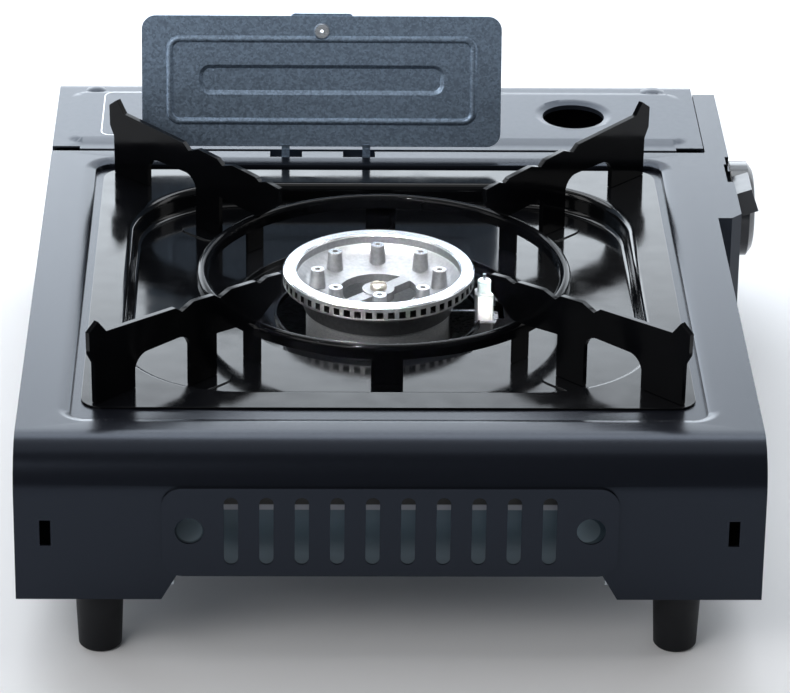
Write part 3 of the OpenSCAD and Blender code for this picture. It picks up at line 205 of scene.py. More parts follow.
def set_up(name, base, metallic=0.0, roughness=0.5, level=0.5):
    """A new material with its principled shader set."""
    mat = bpy.data.materials.new(name)
    mat.use_nodes = True
    shader = mat.node_tree.nodes["Principled BSDF"]
    shader.inputs["Base Color"].default_value = (*base, 1)
    shader.inputs["Metallic"].default_value = metallic
    shader.inputs["Roughness"].default_value = roughness
    shader.inputs["Specular IOR Level"].default_value = level
    mat.diffuse_color = (*base, 1)
    return mat, mat.node_tree, shader


def bare(name, kind):
    """A new material with another shader in place of the principled one."""
    mat = bpy.data.materials.new(name)
    mat.use_nodes = True
    tree = mat.node_tree
    tree.nodes.remove(tree.nodes["Principled BSDF"])
    shader = tree.nodes.new(kind)
    tree.links.new(shader.outputs[0], tree.nodes["Material Output"].inputs["Surface"])
    return mat, shader


def where(tree, scale=(1, 1, 1)):
    """Object coordinates, stretched by a scale for each axis."""
    at = tree.nodes.new("ShaderNodeTexCoord")
    turn = tree.nodes.new("ShaderNodeMapping")
    turn.inputs["Scale"].default_value = scale
    tree.links.new(at.outputs["Object"], turn.inputs["Vector"])
    return turn.outputs["Vector"]


def coordinate(tree, letter):
    """One of the object coordinates."""
    split = tree.nodes.new("ShaderNodeSeparateXYZ")
    tree.links.new(where(tree), split.inputs["Vector"])
    return split.outputs[letter]


def distance(tree, scale, middle):
    """Distance from a point, along the axes that the scale keeps."""
    gap = tree.nodes.new("ShaderNodeVectorMath")
    gap.operation = "DISTANCE"
    gap.inputs[1].default_value = middle
    tree.links.new(where(tree, scale), gap.inputs[0])
    return gap.outputs["Value"]


def mottle(tree, scale, detail=2.0, stretch=(1, 1, 1)):
    """A noise value on the piece."""
    noise = tree.nodes.new("ShaderNodeTexNoise")
    noise.inputs["Scale"].default_value = scale
    noise.inputs["Detail"].default_value = detail
    tree.links.new(where(tree, stretch), noise.inputs["Vector"])
    return noise.outputs["Fac"]


def spread(tree, value, low, high, from_low=0.3, from_high=0.7):
    """A value moved into a range."""
    ramp = tree.nodes.new("ShaderNodeMapRange")
    ramp.inputs["From Min"].default_value = from_low
    ramp.inputs["From Max"].default_value = from_high
    ramp.inputs["To Min"].default_value = low
    ramp.inputs["To Max"].default_value = high
    tree.links.new(value, ramp.inputs["Value"])
    return ramp.outputs["Result"]


def combined(tree, kind, values):
    """Several values brought into one by a maths node, such as their largest or their product."""
    result = values[0]
    for value in values[1:]:
        both = tree.nodes.new("ShaderNodeMath")
        both.operation = kind
        tree.links.new(result, both.inputs[0])
        tree.links.new(value, both.inputs[1])
        result = both.outputs[0]
    return result


def between(tree, value, a, b):
    """A colour that goes from a to b with a value; a may be a colour or another node's output."""
    mix = tree.nodes.new("ShaderNodeMix")
    mix.data_type = "RGBA"
    if isinstance(a, bpy.types.NodeSocket):
        tree.links.new(a, mix.inputs["A"])
    else:
        mix.inputs["A"].default_value = (*a, 1)
    mix.inputs["B"].default_value = (*b, 1)
    tree.links.new(value, mix.inputs["Factor"])
    return mix.outputs["Result"]


def blend(tree, value, a, b):
    """A number that goes from a to b with a value; a may be a number or another node's output."""
    mix = tree.nodes.new("ShaderNodeMix")
    if isinstance(a, bpy.types.NodeSocket):
        tree.links.new(a, mix.inputs["A"])
    else:
        mix.inputs["A"].default_value = a
    mix.inputs["B"].default_value = b
    tree.links.new(value, mix.inputs["Factor"])
    return mix.outputs["Result"]


def relief(tree, shader, value, strength, depth):
    """Surface relief from a value."""
    bump = tree.nodes.new("ShaderNodeBump")
    bump.inputs["Strength"].default_value = strength
    bump.inputs["Distance"].default_value = depth
    tree.links.new(value, bump.inputs["Height"])
    tree.links.new(bump.outputs["Normal"], shader.inputs["Normal"])


def shade(base, by):
    """A colour made lighter or darker."""
    return tuple(min(1, c * by) for c in base)


def toned(tree, shader, value, base, dark, light):
    """Gives the shader a base colour that goes from darker to lighter with a value."""
    tone = between(tree, value, shade(base, dark), shade(base, light))
    tree.links.new(tone, shader.inputs["Base Color"])


def dulled(tree, shader, value, low, high, from_low=0.3, from_high=0.7):
    """Gives the shader a roughness that follows a value."""
    tree.links.new(spread(tree, value, low, high, from_low, from_high), shader.inputs["Roughness"])


def paint(name, base, roughness=0.3, level=0.5, tint=(1, 1, 1)):
    """Sprayed stove paint: fine orange peel and a slow change of tone."""
    mat, tree, shader = set_up(name, base, roughness=roughness, level=level)
    shader.inputs["Specular Tint"].default_value = (*tint, 1)
    toned(tree, shader, spread(tree, mottle(tree, 9, 3), 0, 1), base, 0.92, 1.08)
    dulled(tree, shader, mottle(tree, 420, 3), roughness - 0.015, roughness + 0.02)
    relief(tree, shader, mottle(tree, 1500, 2), 0.06, 0.0001)
    return mat


def louvre_paint(name, base):
    """Paint of the louvre plate with painted light: lighter towards its edge, a painted highlight
    along the edge, painted shade in black over it, and a painted light disc at each sight hole.
    """
    mat, tree, shader = set_up(name, base, roughness=0.4)
    height = coordinate(tree, "Z")
    top = PLATE_EDGE + PLATE_GLINT
    # Painted light: the plate is made lighter towards its edge, where it stands in shade
    lit_towards_edge = spread(tree, height, 0, 1, PLATE_EDGE - 0.02, PLATE_EDGE - 0.004)
    # Painted highlight: a light band along the plate's edge
    edge_glint = spread(tree, height, 0, 1, PLATE_EDGE, PLATE_EDGE + 0.0003)
    # Painted shade: black over the plate's edge, where the inside of the body is in shade
    above = spread(tree, height, 0, 1, top, top + 0.0004)
    # Painted light: a lighter disc behind each sight hole, where the plate stands in shade
    gaps = [distance(tree, (1, 0, 1), (x, 0, SIGHT_Z)) for x in SIGHTS]
    lit_discs = [spread(tree, gap, 1, 0, SIGHT_RADIUS, SIGHT_RADIUS + 0.0003) for gap in gaps]
    on_lit_disc = combined(tree, "MAXIMUM", lit_discs)
    tone = between(tree, lit_towards_edge, base, shade(base, 2.4))
    tone = between(tree, edge_glint, tone, (0.42, 0.44, 0.5))
    tone = between(tree, above, tone, (0, 0, 0))
    tone = between(tree, on_lit_disc, tone, (0.3, 0.4, 0.47))
    tree.links.new(tone, shader.inputs["Base Color"])
    relief(tree, shader, mottle(tree, 1500, 2), 0.1, 0.0001)
    return mat


def enamel(name, base, level):
    """Vitreous enamel: deep gloss over slightly wavy sheet."""
    mat, tree, shader = set_up(name, base, roughness=0.1, level=level)
    toned(tree, shader, spread(tree, mottle(tree, 25, 3), 0, 1), base, 0.7, 1.5)
    dulled(tree, shader, mottle(tree, 90, 3), 0.07, 0.16)
    relief(tree, shader, mottle(tree, 70, 1), 0.12, 0.0003)
    return mat


def galvanised(name, base, spangle=650.0, roughness=0.42, contrast=0.2):
    """Hot-dip zinc: fine crystals of different tone and gloss."""
    mat, tree, shader = set_up(name, base, metallic=0.9, roughness=roughness)
    at = where(tree)
    ripple = tree.nodes.new("ShaderNodeTexNoise")
    ripple.inputs["Scale"].default_value = 260
    tree.links.new(at, ripple.inputs["Vector"])
    shrink = tree.nodes.new("ShaderNodeVectorMath")
    shrink.operation = "SCALE"
    shrink.inputs["Scale"].default_value = 0.0015
    tree.links.new(ripple.outputs["Color"], shrink.inputs[0])
    jitter = tree.nodes.new("ShaderNodeVectorMath")
    jitter.operation = "ADD"
    tree.links.new(at, jitter.inputs[0])
    tree.links.new(shrink.outputs[0], jitter.inputs[1])
    crystals = tree.nodes.new("ShaderNodeTexVoronoi")
    crystals.inputs["Scale"].default_value = spangle
    crystals.inputs["Randomness"].default_value = 1.0
    tree.links.new(jitter.outputs[0], crystals.inputs["Vector"])
    value = tree.nodes.new("ShaderNodeSeparateColor")
    tree.links.new(crystals.outputs["Color"], value.inputs["Color"])
    toned(tree, shader, value.outputs["Red"], base, 1 - contrast, 1 + contrast)
    dulled(tree, shader, value.outputs["Green"], roughness - 0.06, roughness + 0.08, 0, 1)
    relief(tree, shader, mottle(tree, 900, 2), 0.1, 0.0001)
    return mat


def cast_alloy(name, base):
    """Die-cast alloy: blasted skin, bright turned top, painted shade in the dish, and painted shade
    inside the flame slots.
    """
    mat, tree, shader = set_up(name, base, metallic=1.0, roughness=0.42)
    low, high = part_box("burner_head")
    middle = (low + high) / 2
    rim = (high.x - low.x) / 2
    height = coordinate(tree, "Z")
    radius = distance(tree, (1, 1, 0), (middle.x, middle.y, 0))
    top = spread(tree, height, 0, 1, BURNER_TOP - 0.0009, BURNER_TOP - 0.0005)
    skin = blend(tree, top, spread(tree, mottle(tree, 700, 3), 0.8, 1.0), 1.9)
    # Painted shade: the inside of the flame slots is made dark
    port_shade = combined(tree, "MAXIMUM", [
        spread(tree, radius, PORT_SHADE, 1, rim - 0.0005, rim - 0.0003),
        spread(tree, radius, 1, PORT_SHADE, DISH + 0.0003, DISH + 0.0007),
        spread(tree, height, PORT_SHADE, 1, PORTS_HIGH - 0.0001, PORTS_HIGH + 0.0001),
        spread(tree, height, 1, PORT_SHADE, PORTS_LOW - 0.0001, PORTS_LOW + 0.0001),
    ])
    # Painted shade: the dish inside the rim is made darker
    dish = spread(tree, radius, 0.68, 1, DISH - 0.0004, DISH)
    tone = tree.nodes.new("ShaderNodeVectorMath")
    tone.operation = "SCALE"
    tone.inputs[0].default_value = base
    tree.links.new(combined(tree, "MULTIPLY", [skin, port_shade, dish]), tone.inputs["Scale"])
    tree.links.new(tone.outputs[0], shader.inputs["Base Color"])
    tree.links.new(blend(tree, top, 0.48, 0.26), shader.inputs["Roughness"])
    relief(tree, shader, mottle(tree, 1600, 3), 0.3, 0.0002)
    return mat


def metal(name, base, roughness=0.3, scale=500):
    """Plain worked metal with fine drawing marks."""
    mat, tree, shader = set_up(name, base, metallic=1.0, roughness=roughness)
    marks = mottle(tree, scale, 2, (1, 1, 6))
    toned(tree, shader, spread(tree, marks, 0, 1), base, 0.85, 1.1)
    dulled(tree, shader, marks, roughness - 0.05, roughness + 0.08)
    relief(tree, shader, marks, 0.1, 0.0001)
    return mat


def moulded(name, base, roughness=0.35, grain=1200, depth=0.1, level=0.5):
    """Moulded plastic, rubber, glaze or woven sleeve, told apart by grain and gloss."""
    mat, tree, shader = set_up(name, base, roughness=roughness, level=level)
    toned(tree, shader, spread(tree, mottle(tree, 40, 3), 0, 1), base, 0.88, 1.12)
    dulled(tree, shader, mottle(tree, 150, 2), roughness - 0.04, roughness + 0.05)
    relief(tree, shader, mottle(tree, grain, 2), depth, 0.0001)
    return mat


def finishes(look):
    """A maker for every material, by the record's slot or by a name of its own."""
    return {
        "body_enamel": lambda: paint("stove_paint", look.paint, 0.25, 0.3, look.gloss),
        "lid_paint": lambda: paint("lid_paint", look.lid_paint, 0.33, 0.3, look.gloss),
        "louvre_paint": lambda: louvre_paint("louvre_paint", look.plate),
        "tray_enamel": lambda: enamel("tray_enamel", look.enamel, 0.3),
        "support_enamel": lambda: enamel("support_enamel", look.enamel, 0.1),
        "galvanised": lambda: galvanised("zinc_sheet", look.zinc),
        "shield_steel": lambda: galvanised("shield_zinc", look.shield_zinc, 1300, 0.46, 0.26),
        "rivet_zinc": lambda: metal("rivet_zinc", (0.7, 0.72, 0.75), 0.3),
        "steel": lambda: metal("zinc_plated_steel", (0.55, 0.55, 0.57), 0.28),
        "cast_aluminium": lambda: cast_alloy("cast_alloy", look.casting),
        "brass": lambda: metal("brass", look.brass, 0.25),
        "nickel": lambda: metal("nickel_plate", look.nickel, 0.3),
        "ceramic": lambda: moulded("glazed_ceramic", look.ceramic, 0.16, 300, 0.04),
        # Painted light: the bowl under the burner head is the casting colour made 1.8 times
        # lighter, standing in for light it does not get
        "bowl_alloy": lambda: metal("bowl_alloy", shade(look.casting, 1.8), 0.55, 900),
        "lead_sleeve": lambda: moulded("woven_sleeve", (0.55, 0.52, 0.46), 0.8, 2500, 0.5),
        "black_plastic": lambda: moulded("matt_plastic", (0.02, 0.02, 0.022), 0.5, 1500, 0.2),
        "white_plastic": lambda: moulded("natural_plastic", (0.7, 0.68, 0.62), 0.45),
        "knob_plastic": lambda: moulded("gloss_plastic", look.plastic, 0.2, 900, 0.05),
        "rubber": lambda: moulded("rubber", look.rubber, 0.6, 1800, 0.3, 0.25),
        "print": lambda: moulded("white_print", (0.8, 0.82, 0.85), 0.4, 900, 0.02),
    }


def finish(slot):
    """The material of a slot, made once."""
    if slot not in finish.made:
        finish.made[slot] = finishes(bpy.context.scene.stove_finish)[slot]()
    return finish.made[slot]


finish.made = {}


# ---- pieces ----


def linked(name, data):
    """A new object in the scene, for a mesh, a lamp or a camera."""
    holder = bpy.data.objects.new(name, data)
    bpy.context.scene.collection.objects.link(holder)
    return holder


def bake(piece):
    """Turns a piece's modifiers into plain mesh."""
    graph = bpy.context.evaluated_depsgraph_get()
    graph.update()
    made = bpy.data.meshes.new_from_object(
        piece.evaluated_get(graph), preserve_all_data_layers=True, depsgraph=graph
    )
    piece.modifiers.clear()
    piece.data = made


def welded(node):
    """A CAD node's mesh with its doubles merged, open for work."""
    work = bmesh.new()
    work.from_mesh(frame["nodes"][node].data)
    bmesh.ops.remove_doubles(work, verts=work.verts, dist=WELD)
    return work


def dress(*nodes, slot=None):
    """Gives CAD nodes their own finish or that of a slot."""
    for node in nodes:
        mesh = frame["nodes"][node].data
        mesh.materials.clear()
        mesh.materials.append(finish(slot or SLOT_OF[node]))


def rounded_copy(node, edge, crease=CREASE, segments=2, slot=None):
    """A welded copy of a CAD node with its edges rounded, in place of the node."""
    work = welded(node)
    bmesh.ops.dissolve_degenerate(work, edges=work.edges, dist=SHORTEST)
    bmesh.ops.dissolve_limit(
        work, angle_limit=math.radians(FLATTEST), verts=work.verts, edges=work.edges,
        delimit={"NORMAL"},
    )
    mesh = bpy.data.meshes.new(node + "_finished")
    work.to_mesh(mesh)
    work.free()
    piece = linked(node + "_finished", mesh)
    if edge > 0:
        soft = piece.modifiers.new("edges", "BEVEL")
        soft.width = edge
        soft.segments = segments
        soft.limit_method = "ANGLE"
        soft.angle_limit = math.radians(ROUNDED_FROM)
        soft.use_clamp_overlap = True
        soft.miter_outer = "MITER_ARC"
        bake(piece)
    piece.data.shade_smooth()
    piece.data.set_sharp_from_angle(angle=math.radians(crease))
    flat = piece.modifiers.new("normals", "WEIGHTED_NORMAL")
    flat.mode = "FACE_AREA"
    flat.weight = 50
    flat.keep_sharp = True
    bake(piece)
    piece.data.materials.clear()
    piece.data.materials.append(finish(slot or SLOT_OF[node]))
    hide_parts(node)
    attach(piece, BODY_OF[node])
    return piece


# ---- pieces that repeat or follow a path ----


def new_tree(name, floats, others):
    """A geometry tree with named inputs; hands back the tree, its inputs and a maker of nodes."""
    tree = bpy.data.node_groups.new(name, "GeometryNodeTree")
    tree.interface.new_socket("Geometry", in_out="INPUT", socket_type="NodeSocketGeometry")
    inputs = [(label, "Float") for label in floats] + list(others) + [("Material", "Material")]
    for label, kind in inputs:
        tree.interface.new_socket(label, in_out="INPUT", socket_type="NodeSocket" + kind)
    tree.interface.new_socket("Geometry", in_out="OUTPUT", socket_type="NodeSocketGeometry")
    given = tree.nodes.new("NodeGroupInput").outputs

    def node(kind, links=(), **values):
        made = tree.nodes.new(kind)
        for key, value in values.items():
            setattr(made, key, value)
        for key, value in links:
            target = made.inputs[key]
            if isinstance(value, bpy.types.NodeSocket):
                tree.links.new(value, target)
            else:
                target.default_value = value
        return made.outputs[0]

    return tree, given, node


def end_tree(tree, given, node, geometry):
    """Realizes the instances, sets the material and closes the tree."""
    real = node("GeometryNodeRealizeInstances", [("Geometry", geometry)])
    links = [("Geometry", real), ("Material", given["Material"])]
    dressed = node("GeometryNodeSetMaterial", links)
    out = tree.nodes.new("NodeGroupOutput")
    tree.links.new(dressed, out.inputs["Geometry"])
    return tree


def screw_tree():
    """Sets a cross-recess screw on every point of a mesh."""
    sizes = (
        "Head Radius", "Crown Radius", "Head Height", "Shank Radius", "Shank Length", "Recess",
        "Recess Depth",
    )
    tree, given, node = new_tree("cross_screws", sizes, (("Sides", "Int"), ("Turn", "Rotation")))

    def times(a, b):
        return node("ShaderNodeMath", [(0, a), (1, b)], operation="MULTIPLY")

    def raised(geometry, z):
        lift = node("ShaderNodeCombineXYZ", [("Z", z)])
        return node("GeometryNodeTransform", [("Geometry", geometry), ("Translation", lift)])

    head = node("GeometryNodeMeshCone", [
        ("Vertices", given["Sides"]), ("Radius Top", given["Crown Radius"]),
        ("Radius Bottom", given["Head Radius"]), ("Depth", given["Head Height"]),
    ])
    wide = times(given["Head Radius"], 1.1)
    deep = times(given["Recess Depth"], 2.0)
    cuts = []
    for x, y in ((wide, given["Recess"]), (given["Recess"], wide)):
        size = node("ShaderNodeCombineXYZ", [("X", x), ("Y", y), ("Z", deep)])
        cuts.append(raised(node("GeometryNodeMeshCube", [("Size", size)]), given["Head Height"]))
    cross = node("GeometryNodeMeshBoolean", [("Mesh 2", cut) for cut in cuts], operation="UNION")
    links = [("Mesh 1", head), ("Mesh 2", cross)]
    slotted = node("GeometryNodeMeshBoolean", links, operation="DIFFERENCE")
    shank = node("GeometryNodeMeshCylinder", [
        ("Vertices", given["Sides"]), ("Radius", given["Shank Radius"]),
        ("Depth", given["Shank Length"]),
    ])
    low = raised(shank, times(given["Shank Length"], -0.5))
    screw = node("GeometryNodeJoinGeometry", [("Geometry", slotted), ("Geometry", low)])
    points = node("GeometryNodeMeshToPoints", [("Mesh", given["Geometry"])])
    spots = node("GeometryNodeInstanceOnPoints", [
        ("Points", points), ("Instance", screw), ("Rotation", given["Turn"]),
    ])
    return end_tree(tree, given, node, spots)


def outline_tree():
    """Lays a thin flat band along a rounded rectangle."""
    sizes = ("Width", "Depth", "Corner", "Line", "Thickness")
    tree, given, node = new_tree("printed_outline", sizes, (("Place", "Vector"),))

    def rectangle(width, height):
        links = [("Width", given[width]), ("Height", given[height])]
        return node("GeometryNodeCurvePrimitiveQuadrilateral", links)

    path = rectangle("Width", "Depth")
    links = [("Curve", path), ("Count", 8), ("Radius", given["Corner"])]
    soft = node("GeometryNodeFilletCurve", links, mode="POLY")
    band = rectangle("Line", "Thickness")
    strip = node("GeometryNodeCurveToMesh", [("Curve", soft), ("Profile Curve", band)])
    links = [("Geometry", strip), ("Translation", given["Place"])]
    return end_tree(tree, given, node, node("GeometryNodeTransform", links))


def rib_tree():
    """Stacks round cross ribs up from every point of a mesh."""
    sizes = ("Step", "Radius", "Width")
    tree, given, node = new_tree("leg_ribs", sizes, (("Count", "Int"),))
    rib = node("GeometryNodeMeshCylinder", [
        ("Vertices", 12), ("Radius", given["Radius"]), ("Depth", given["Width"]),
    ])
    links = [("Geometry", rib), ("Rotation", (0, math.pi / 2, 0))]
    lying = node("GeometryNodeTransform", links)
    rise = node("ShaderNodeCombineXYZ", [("Z", given["Step"])])
    stack = node("GeometryNodeMeshLine", [("Count", given["Count"]), ("Offset", rise)])
    leg = node("GeometryNodeInstanceOnPoints", [("Points", stack), ("Instance", lying)])
    points = node("GeometryNodeMeshToPoints", [("Mesh", given["Geometry"])])
    legs = node("GeometryNodeInstanceOnPoints", [("Points", points), ("Instance", leg)])
    return end_tree(tree, given, node, legs)


def grown(name, tree, points, values, slot, body):
    """A plain mesh grown by a geometry tree on points, and carried by a body."""
    mesh = bpy.data.meshes.new(name)
    mesh.from_pydata(points, [], [])
    piece = linked(name, mesh)
    maker = piece.modifiers.new(tree.name, "NODES")
    maker.node_group = tree
    values = dict(values, Material=finish(slot))
    for item in tree.interface.items_tree:
        if item.item_type == "SOCKET" and item.in_out == "INPUT" and item.name in values:
            maker[item.identifier] = values[item.name]
    bake(piece)
    if not piece.data.polygons:
        raise RuntimeError(name + " came out empty")
    piece.data.shade_smooth()
    piece.data.set_sharp_from_angle(angle=math.radians(GROWN_CREASE))
    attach(piece, body)
    return piece


def islands(node):
    """The lowest and highest corner of every separate solid of a node."""
    work = welded(node)
    left = set(work.verts)
    found = []
    while left:
        group, edge = set(), [left.pop()]
        while edge:
            vert = edge.pop()
            group.add(vert)
            for link in vert.link_edges:
                other = link.other_vert(vert)
                if other in left:
                    left.discard(other)
                    edge.append(other)
        low = Vector([min(v.co[i] for v in group) for i in range(3)])
        high = Vector([max(v.co[i] for v in group) for i in range(3)])
        found.append((low, high))
    work.free()
    return sorted(found, key=lambda box: tuple(box[0]))


class STOVE_OT_body(Operator):
    """Finish the body shell, its trough and the louvre plate"""

    bl_idname = "stove.body"
    bl_label = "Body"

    def execute(self, context):
        rounded_copy("body_shell", context.scene.stove_finish.sheet_edge, SHEET_CREASE)
        dress("canister_trough", "base_plate", "bay_partition", "canister_saddles")
        dress("louvre_plate", slot="louvre_paint")
        return {"FINISHED"}


class STOVE_OT_lid(Operator):
    """Finish the canister lid and its hinge pins"""

    bl_idname = "stove.lid"
    bl_label = "Canister lid"

    def execute(self, context):
        edge = context.scene.stove_finish.sheet_edge
        lid = rounded_copy("canister_lid", edge, SHEET_CREASE)
        dress("lid_hinge_pins")
        size = LABEL_HIGH - LABEL_LOW
        middle = (LABEL_LOW + LABEL_HIGH) / 2
        top = lid.ray_cast((middle.x, middle.y, 1.0), (0, 0, -1))[1].z
        values = {
            "Width": size.x, "Depth": size.y, "Corner": 0.004, "Line": 0.0005,
            "Thickness": 0.0001, "Place": (middle.x, middle.y, top),
        }
        body = BODY_OF["canister_lid"]
        grown("label_outline", outline_tree(), [(0, 0, 0)], values, "print", body)
        return {"FINISHED"}


class STOVE_OT_shield(Operator):
    """Finish the heat shield with its clip and rivet"""

    bl_idname = "stove.shield"
    bl_label = "Heat shield"

    def execute(self, context):
        shield = rounded_copy("heat_shield", edge=0.00015, crease=SHEET_CREASE)
        size = context.scene.stove_screws
        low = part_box("heat_shield")[0]
        front = min(v.co.y for v in shield.data.vertices if v.co.z < low.z + LEG_FOOT)
        feet = [(x, front, LEG_TOP - RIBS * size.rib_step) for x in LEGS]
        values = {"Count": RIBS, "Step": size.rib_step, "Radius": size.rib, "Width": RIB_WIDTH}
        grown("shield_ribs", rib_tree(), feet, values, "shield_steel", BODY_OF["heat_shield"])
        rounded_copy("shield_rivet", edge=0.0, crease=RIVET_CREASE, slot="rivet_zinc")
        dress("shield_clip", "shield_sockets")
        return {"FINISHED"}


class STOVE_OT_tray(Operator):
    """Finish the drip tray"""

    bl_idname = "stove.tray"
    bl_label = "Drip tray"

    def execute(self, context):
        rounded_copy("drip_tray", context.scene.stove_finish.sheet_edge, SHEET_CREASE)
        return {"FINISHED"}


class STOVE_OT_support(Operator):
    """Finish the pan support's ring and arms"""

    bl_idname = "stove.support"
    bl_label = "Pan support"

    def execute(self, context):
        edge = context.scene.stove_finish.plate_edge
        rounded_copy("support_ring", edge=0.0002)
        for corner in CORNERS:
            rounded_copy("support_arm_" + corner, edge, segments=3)
        return {"FINISHED"}


class STOVE_OT_burner(Operator):
    """Finish the burner head, bowl, tube and screw"""

    bl_idname = "stove.burner"
    bl_label = "Burner"

    def execute(self, context):
        rounded_copy("burner_head", context.scene.stove_finish.cast_edge)
        rounded_copy("burner_bowl", edge=0.0, slot="bowl_alloy")
        rounded_copy("burner_screw", edge=0.00015, slot="nickel")
        dress("burner_stand", "mixing_tube", "gas_jet", "gas_pipe")
        return {"FINISHED"}


class STOVE_OT_igniter(Operator):
    """Finish the igniter"""

    bl_idname = "stove.igniter"
    bl_label = "Igniter"

    def execute(self, context):
        rounded_copy("igniter_ceramic", edge=0.0002)
        rounded_copy("igniter_needle", edge=0.0)
        dress("igniter_bracket", "igniter_lead", "piezo_unit", "piezo_plunger")
        return {"FINISHED"}


class STOVE_OT_controls(Operator):
    """Finish the control panel, knob, lock lever and regulator"""

    bl_idname = "stove.controls"
    bl_label = "Controls"

    def execute(self, context):
        rounded_copy("control_panel", context.scene.stove_finish.sheet_edge, SHEET_CREASE)
        rounded_copy("knob", edge=0.0004, segments=3)
        rounded_copy("lever_tab", edge=0.0003, segments=3)
        dress("knob_shaft", "knob_cam", "lock_lever", "lever_guide", "canister_carriage")
        dress("regulator", "regulator_seal")
        return {"FINISHED"}


class STOVE_OT_feet(Operator):
    """Finish the four feet"""

    bl_idname = "stove.feet"
    bl_label = "Feet"

    def execute(self, context):
        for corner in CORNERS:
            rounded_copy("foot_" + corner, edge=0.0003)
        return {"FINISHED"}


class STOVE_OT_screws(Operator):
    """Finish the screws"""

    bl_idname = "stove.screws"
    bl_label = "Screws"

    def execute(self, context):
        size = context.scene.stove_screws
        tree = screw_tree()
        for node, axis, head, crown, height, shank in SCREWS:
            # Screws of one length are one piece
            seats_of = {}
            for low, high in islands(node):
                middle = (low + high) / 2
                if axis == "x":
                    seat, tall = (high.x - height, middle.y, middle.z), high.x - low.x
                else:
                    seat, tall = (middle.x, middle.y, low.z + height), high.z - low.z
                seats_of.setdefault(round(tall, 5), []).append(seat)
            turn = (0, math.pi / 2, 0) if axis == "x" else (math.pi, 0, 0)
            for number, (tall, seats) in enumerate(sorted(seats_of.items())):
                values = {
                    "Head Radius": head, "Crown Radius": crown, "Head Height": height,
                    "Shank Radius": shank, "Shank Length": tall - height, "Recess": size.recess,
                    "Recess Depth": size.depth, "Sides": size.sides, "Turn": turn,
                }
                name = node + "_finished_" + str(number)
                piece = grown(name, tree, seats, values, SLOT_OF[node], BODY_OF[node])
                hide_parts(node)
        return {"FINISHED"}


# ---- stage ----


def softbox(name, at, towards, size, watts, tint=(1, 1, 1)):
    """A rectangular lamp that looks at a point."""
    lamp = bpy.data.lights.new(name, "AREA")
    lamp.shape = "RECTANGLE"
    lamp.size, lamp.size_y = size
    lamp.energy = watts
    lamp.color = tint
    holder = linked(name, lamp)
    holder.location = at
    aim = Vector(towards) - Vector(at)
    holder.rotation_euler = aim.to_track_quat("-Z", "Y").to_euler()
    holder.visible_camera = False
    return lamp


def face(name, corners):
    """An object with a single face."""
    mesh = bpy.data.meshes.new(name)
    mesh.from_pydata(corners, [], [(0, 1, 2, 3)])
    return linked(name, mesh)


def card(name, y, low, high, glow, tint):
    """An upright glowing card, dimmest across its middle and brighter to the left."""
    holder = face(name, [
        (low[0], y, low[1]), (high[0], y, low[1]), (high[0], y, high[1]), (low[0], y, high[1]),
    ])
    holder.visible_camera = False
    mat, light = bare(name, "ShaderNodeEmission")
    tree = mat.node_tree
    whole = tree.nodes.new("ShaderNodeValue").outputs[0]
    whole.default_value = glow
    height = coordinate(tree, "Z")
    side = coordinate(tree, "X")
    strength = combined(tree, "MULTIPLY", [
        whole,
        spread(tree, height, 1.0, 0.27, 0.7, 0.92),
        spread(tree, height, 0.88, 1.0, 0.6, 0.7),
        spread(tree, height, 1.0, 3.0, 1.0, 1.25),
        spread(tree, side, 1.16, 0.85, -0.35, 0.35),
    ])
    light.inputs["Color"].default_value = (*tint, 1)
    tree.links.new(strength, light.inputs["Strength"])
    holder.data.materials.append(mat)


def set_world(strength):
    """A faint cool light from all round."""
    world = bpy.data.worlds.new("studio")
    bpy.context.scene.world = world
    world.use_nodes = True
    around = world.node_tree.nodes["Background"]
    around.inputs["Color"].default_value = (*COOL, 1)
    around.inputs["Strength"].default_value = strength


def set_floor(half):
    """A plain pale floor."""
    floor = face("floor", [(-half, -half, 0), (half, -half, 0), (half, half, 0), (-half, half, 0)])
    mat, matt = bare("floor", "ShaderNodeBsdfDiffuse")
    matt.inputs["Color"].default_value = (0.77, 0.765, 0.77, 1)
    floor.data.materials.append(mat)


def set_camera(focal_length):
    """A camera a little to the left of the stove and above it."""
    lens = bpy.data.cameras.new("camera")
    lens.sensor_width = 36
    lens.lens = focal_length
    lens.clip_start = 0.05
    lens.clip_end = 30
    camera = linked("camera", lens)
    pitch, yaw, roll = (math.radians(a) for a in (CAMERA_PITCH, CAMERA_YAW, CAMERA_ROLL))
    ahead = Vector((
        math.sin(yaw) * math.cos(pitch), math.cos(yaw) * math.cos(pitch), -math.sin(pitch),
    ))
    level = Vector((math.cos(yaw), -math.sin(yaw), 0))
    rise = level.cross(ahead)
    right = level * math.cos(roll) + rise * math.sin(roll)
    up = rise * math.cos(roll) - level * math.sin(roll)
    place = Matrix((right, up, -ahead)).transposed().to_4x4()
    place.translation = Vector(CAMERA_PLACE)
    camera.matrix_world = place
    bpy.context.scene.camera = camera


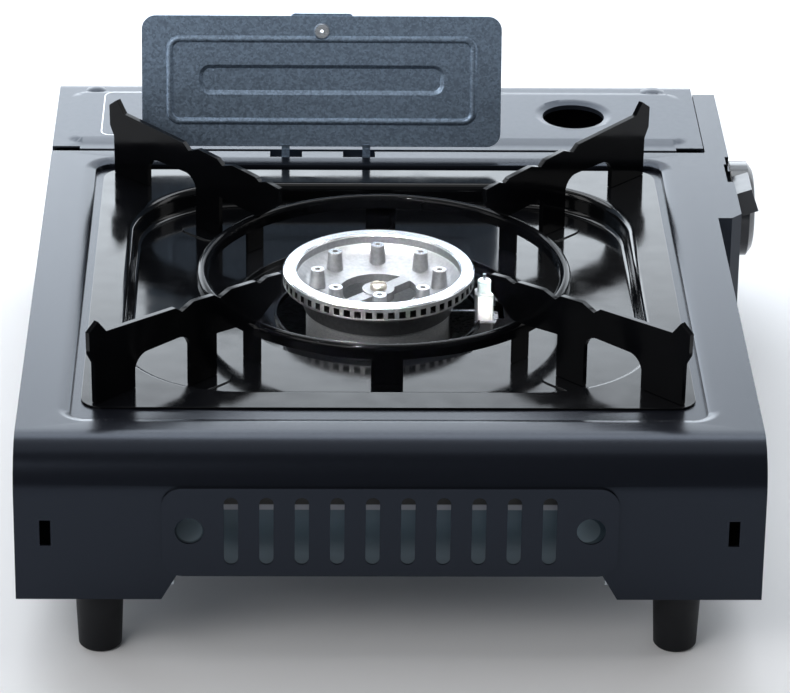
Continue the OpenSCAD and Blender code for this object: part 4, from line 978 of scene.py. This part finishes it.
class STOVE_OT_stage(Operator):
    """Set the floor, the lamps, the world and the camera"""

    bl_idname = "stove.stage"
    bl_label = "Stage"

    def execute(self, context):
        stage = context.scene.stove_stage
        context.scene.view_settings.view_transform = "Standard"
        set_world(stage.world)
        set_floor(FLOOR_HALF)
        card("board", 1.5, (-1.6, 0.1), (1.6, 1.6), stage.board, (0.86, 0.93, 1.0))
        softbox("rear_strip", (0.0, 0.8, 1.4), LAMP_AIM, (2.6, 0.5), stage.strip, COOL)
        softbox("overhead", (0.0, 0.1, 1.3), LAMP_AIM, (1.3, 1.1), stage.key)
        softbox("front_fill", (-0.9, -1.1, 1.1), LAMP_AIM, (1.1, 0.8), stage.fill)
        low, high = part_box("burner_head")
        snoot = softbox("snoot", (-0.3, -0.8, 1.3), (low + high) / 2, (0.04, 0.04), stage.snoot)
        snoot.spread = math.radians(SNOOT_SPREAD)
        softbox("left_strip", (-1.2, -0.3, 0.6), SIDE_AIM, (0.4, 1.2), stage.rim)
        softbox("right_strip", (1.2, 0.1, 0.5), SIDE_AIM, (0.4, 1.2), stage.rim)
        set_camera(stage.lens)
        return {"FINISHED"}


class STOVE_PT_panel(Panel):
    """Lists the stove's pieces"""

    bl_idname = "STOVE_PT_panel"
    bl_label = "Stove"
    bl_space_type = "VIEW_3D"
    bl_region_type = "UI"
    bl_category = "Stove"

    def draw(self, context):
        scene = context.scene
        for operator in OPERATORS:
            self.layout.operator(operator.bl_idname)
        for group in (scene.stove_finish, scene.stove_screws, scene.stove_stage):
            for name in group.__annotations__:
                self.layout.prop(group, name)


OPERATORS = (
    STOVE_OT_stage,
    STOVE_OT_body,
    STOVE_OT_lid,
    STOVE_OT_shield,
    STOVE_OT_tray,
    STOVE_OT_support,
    STOVE_OT_burner,
    STOVE_OT_igniter,
    STOVE_OT_controls,
    STOVE_OT_feet,
    STOVE_OT_screws,
)
CLASSES = (StoveFinish, StoveScrews, StoveStage, *OPERATORS, STOVE_PT_panel)


def register():
    for cls in CLASSES:
        bpy.utils.register_class(cls)
    bpy.types.Scene.stove_finish = PointerProperty(type=StoveFinish)
    bpy.types.Scene.stove_screws = PointerProperty(type=StoveScrews)
    bpy.types.Scene.stove_stage = PointerProperty(type=StoveStage)


def unregister():
    for name in ("stove_stage", "stove_screws", "stove_finish"):
        delattr(bpy.types.Scene, name)
    for cls in reversed(CLASSES):
        bpy.utils.unregister_class(cls)


def main():
    register()
    for operator in OPERATORS:
        group, name = operator.bl_idname.split(".")
        getattr(getattr(bpy.ops, group), name)()


if __name__ == "__main__":
    main()
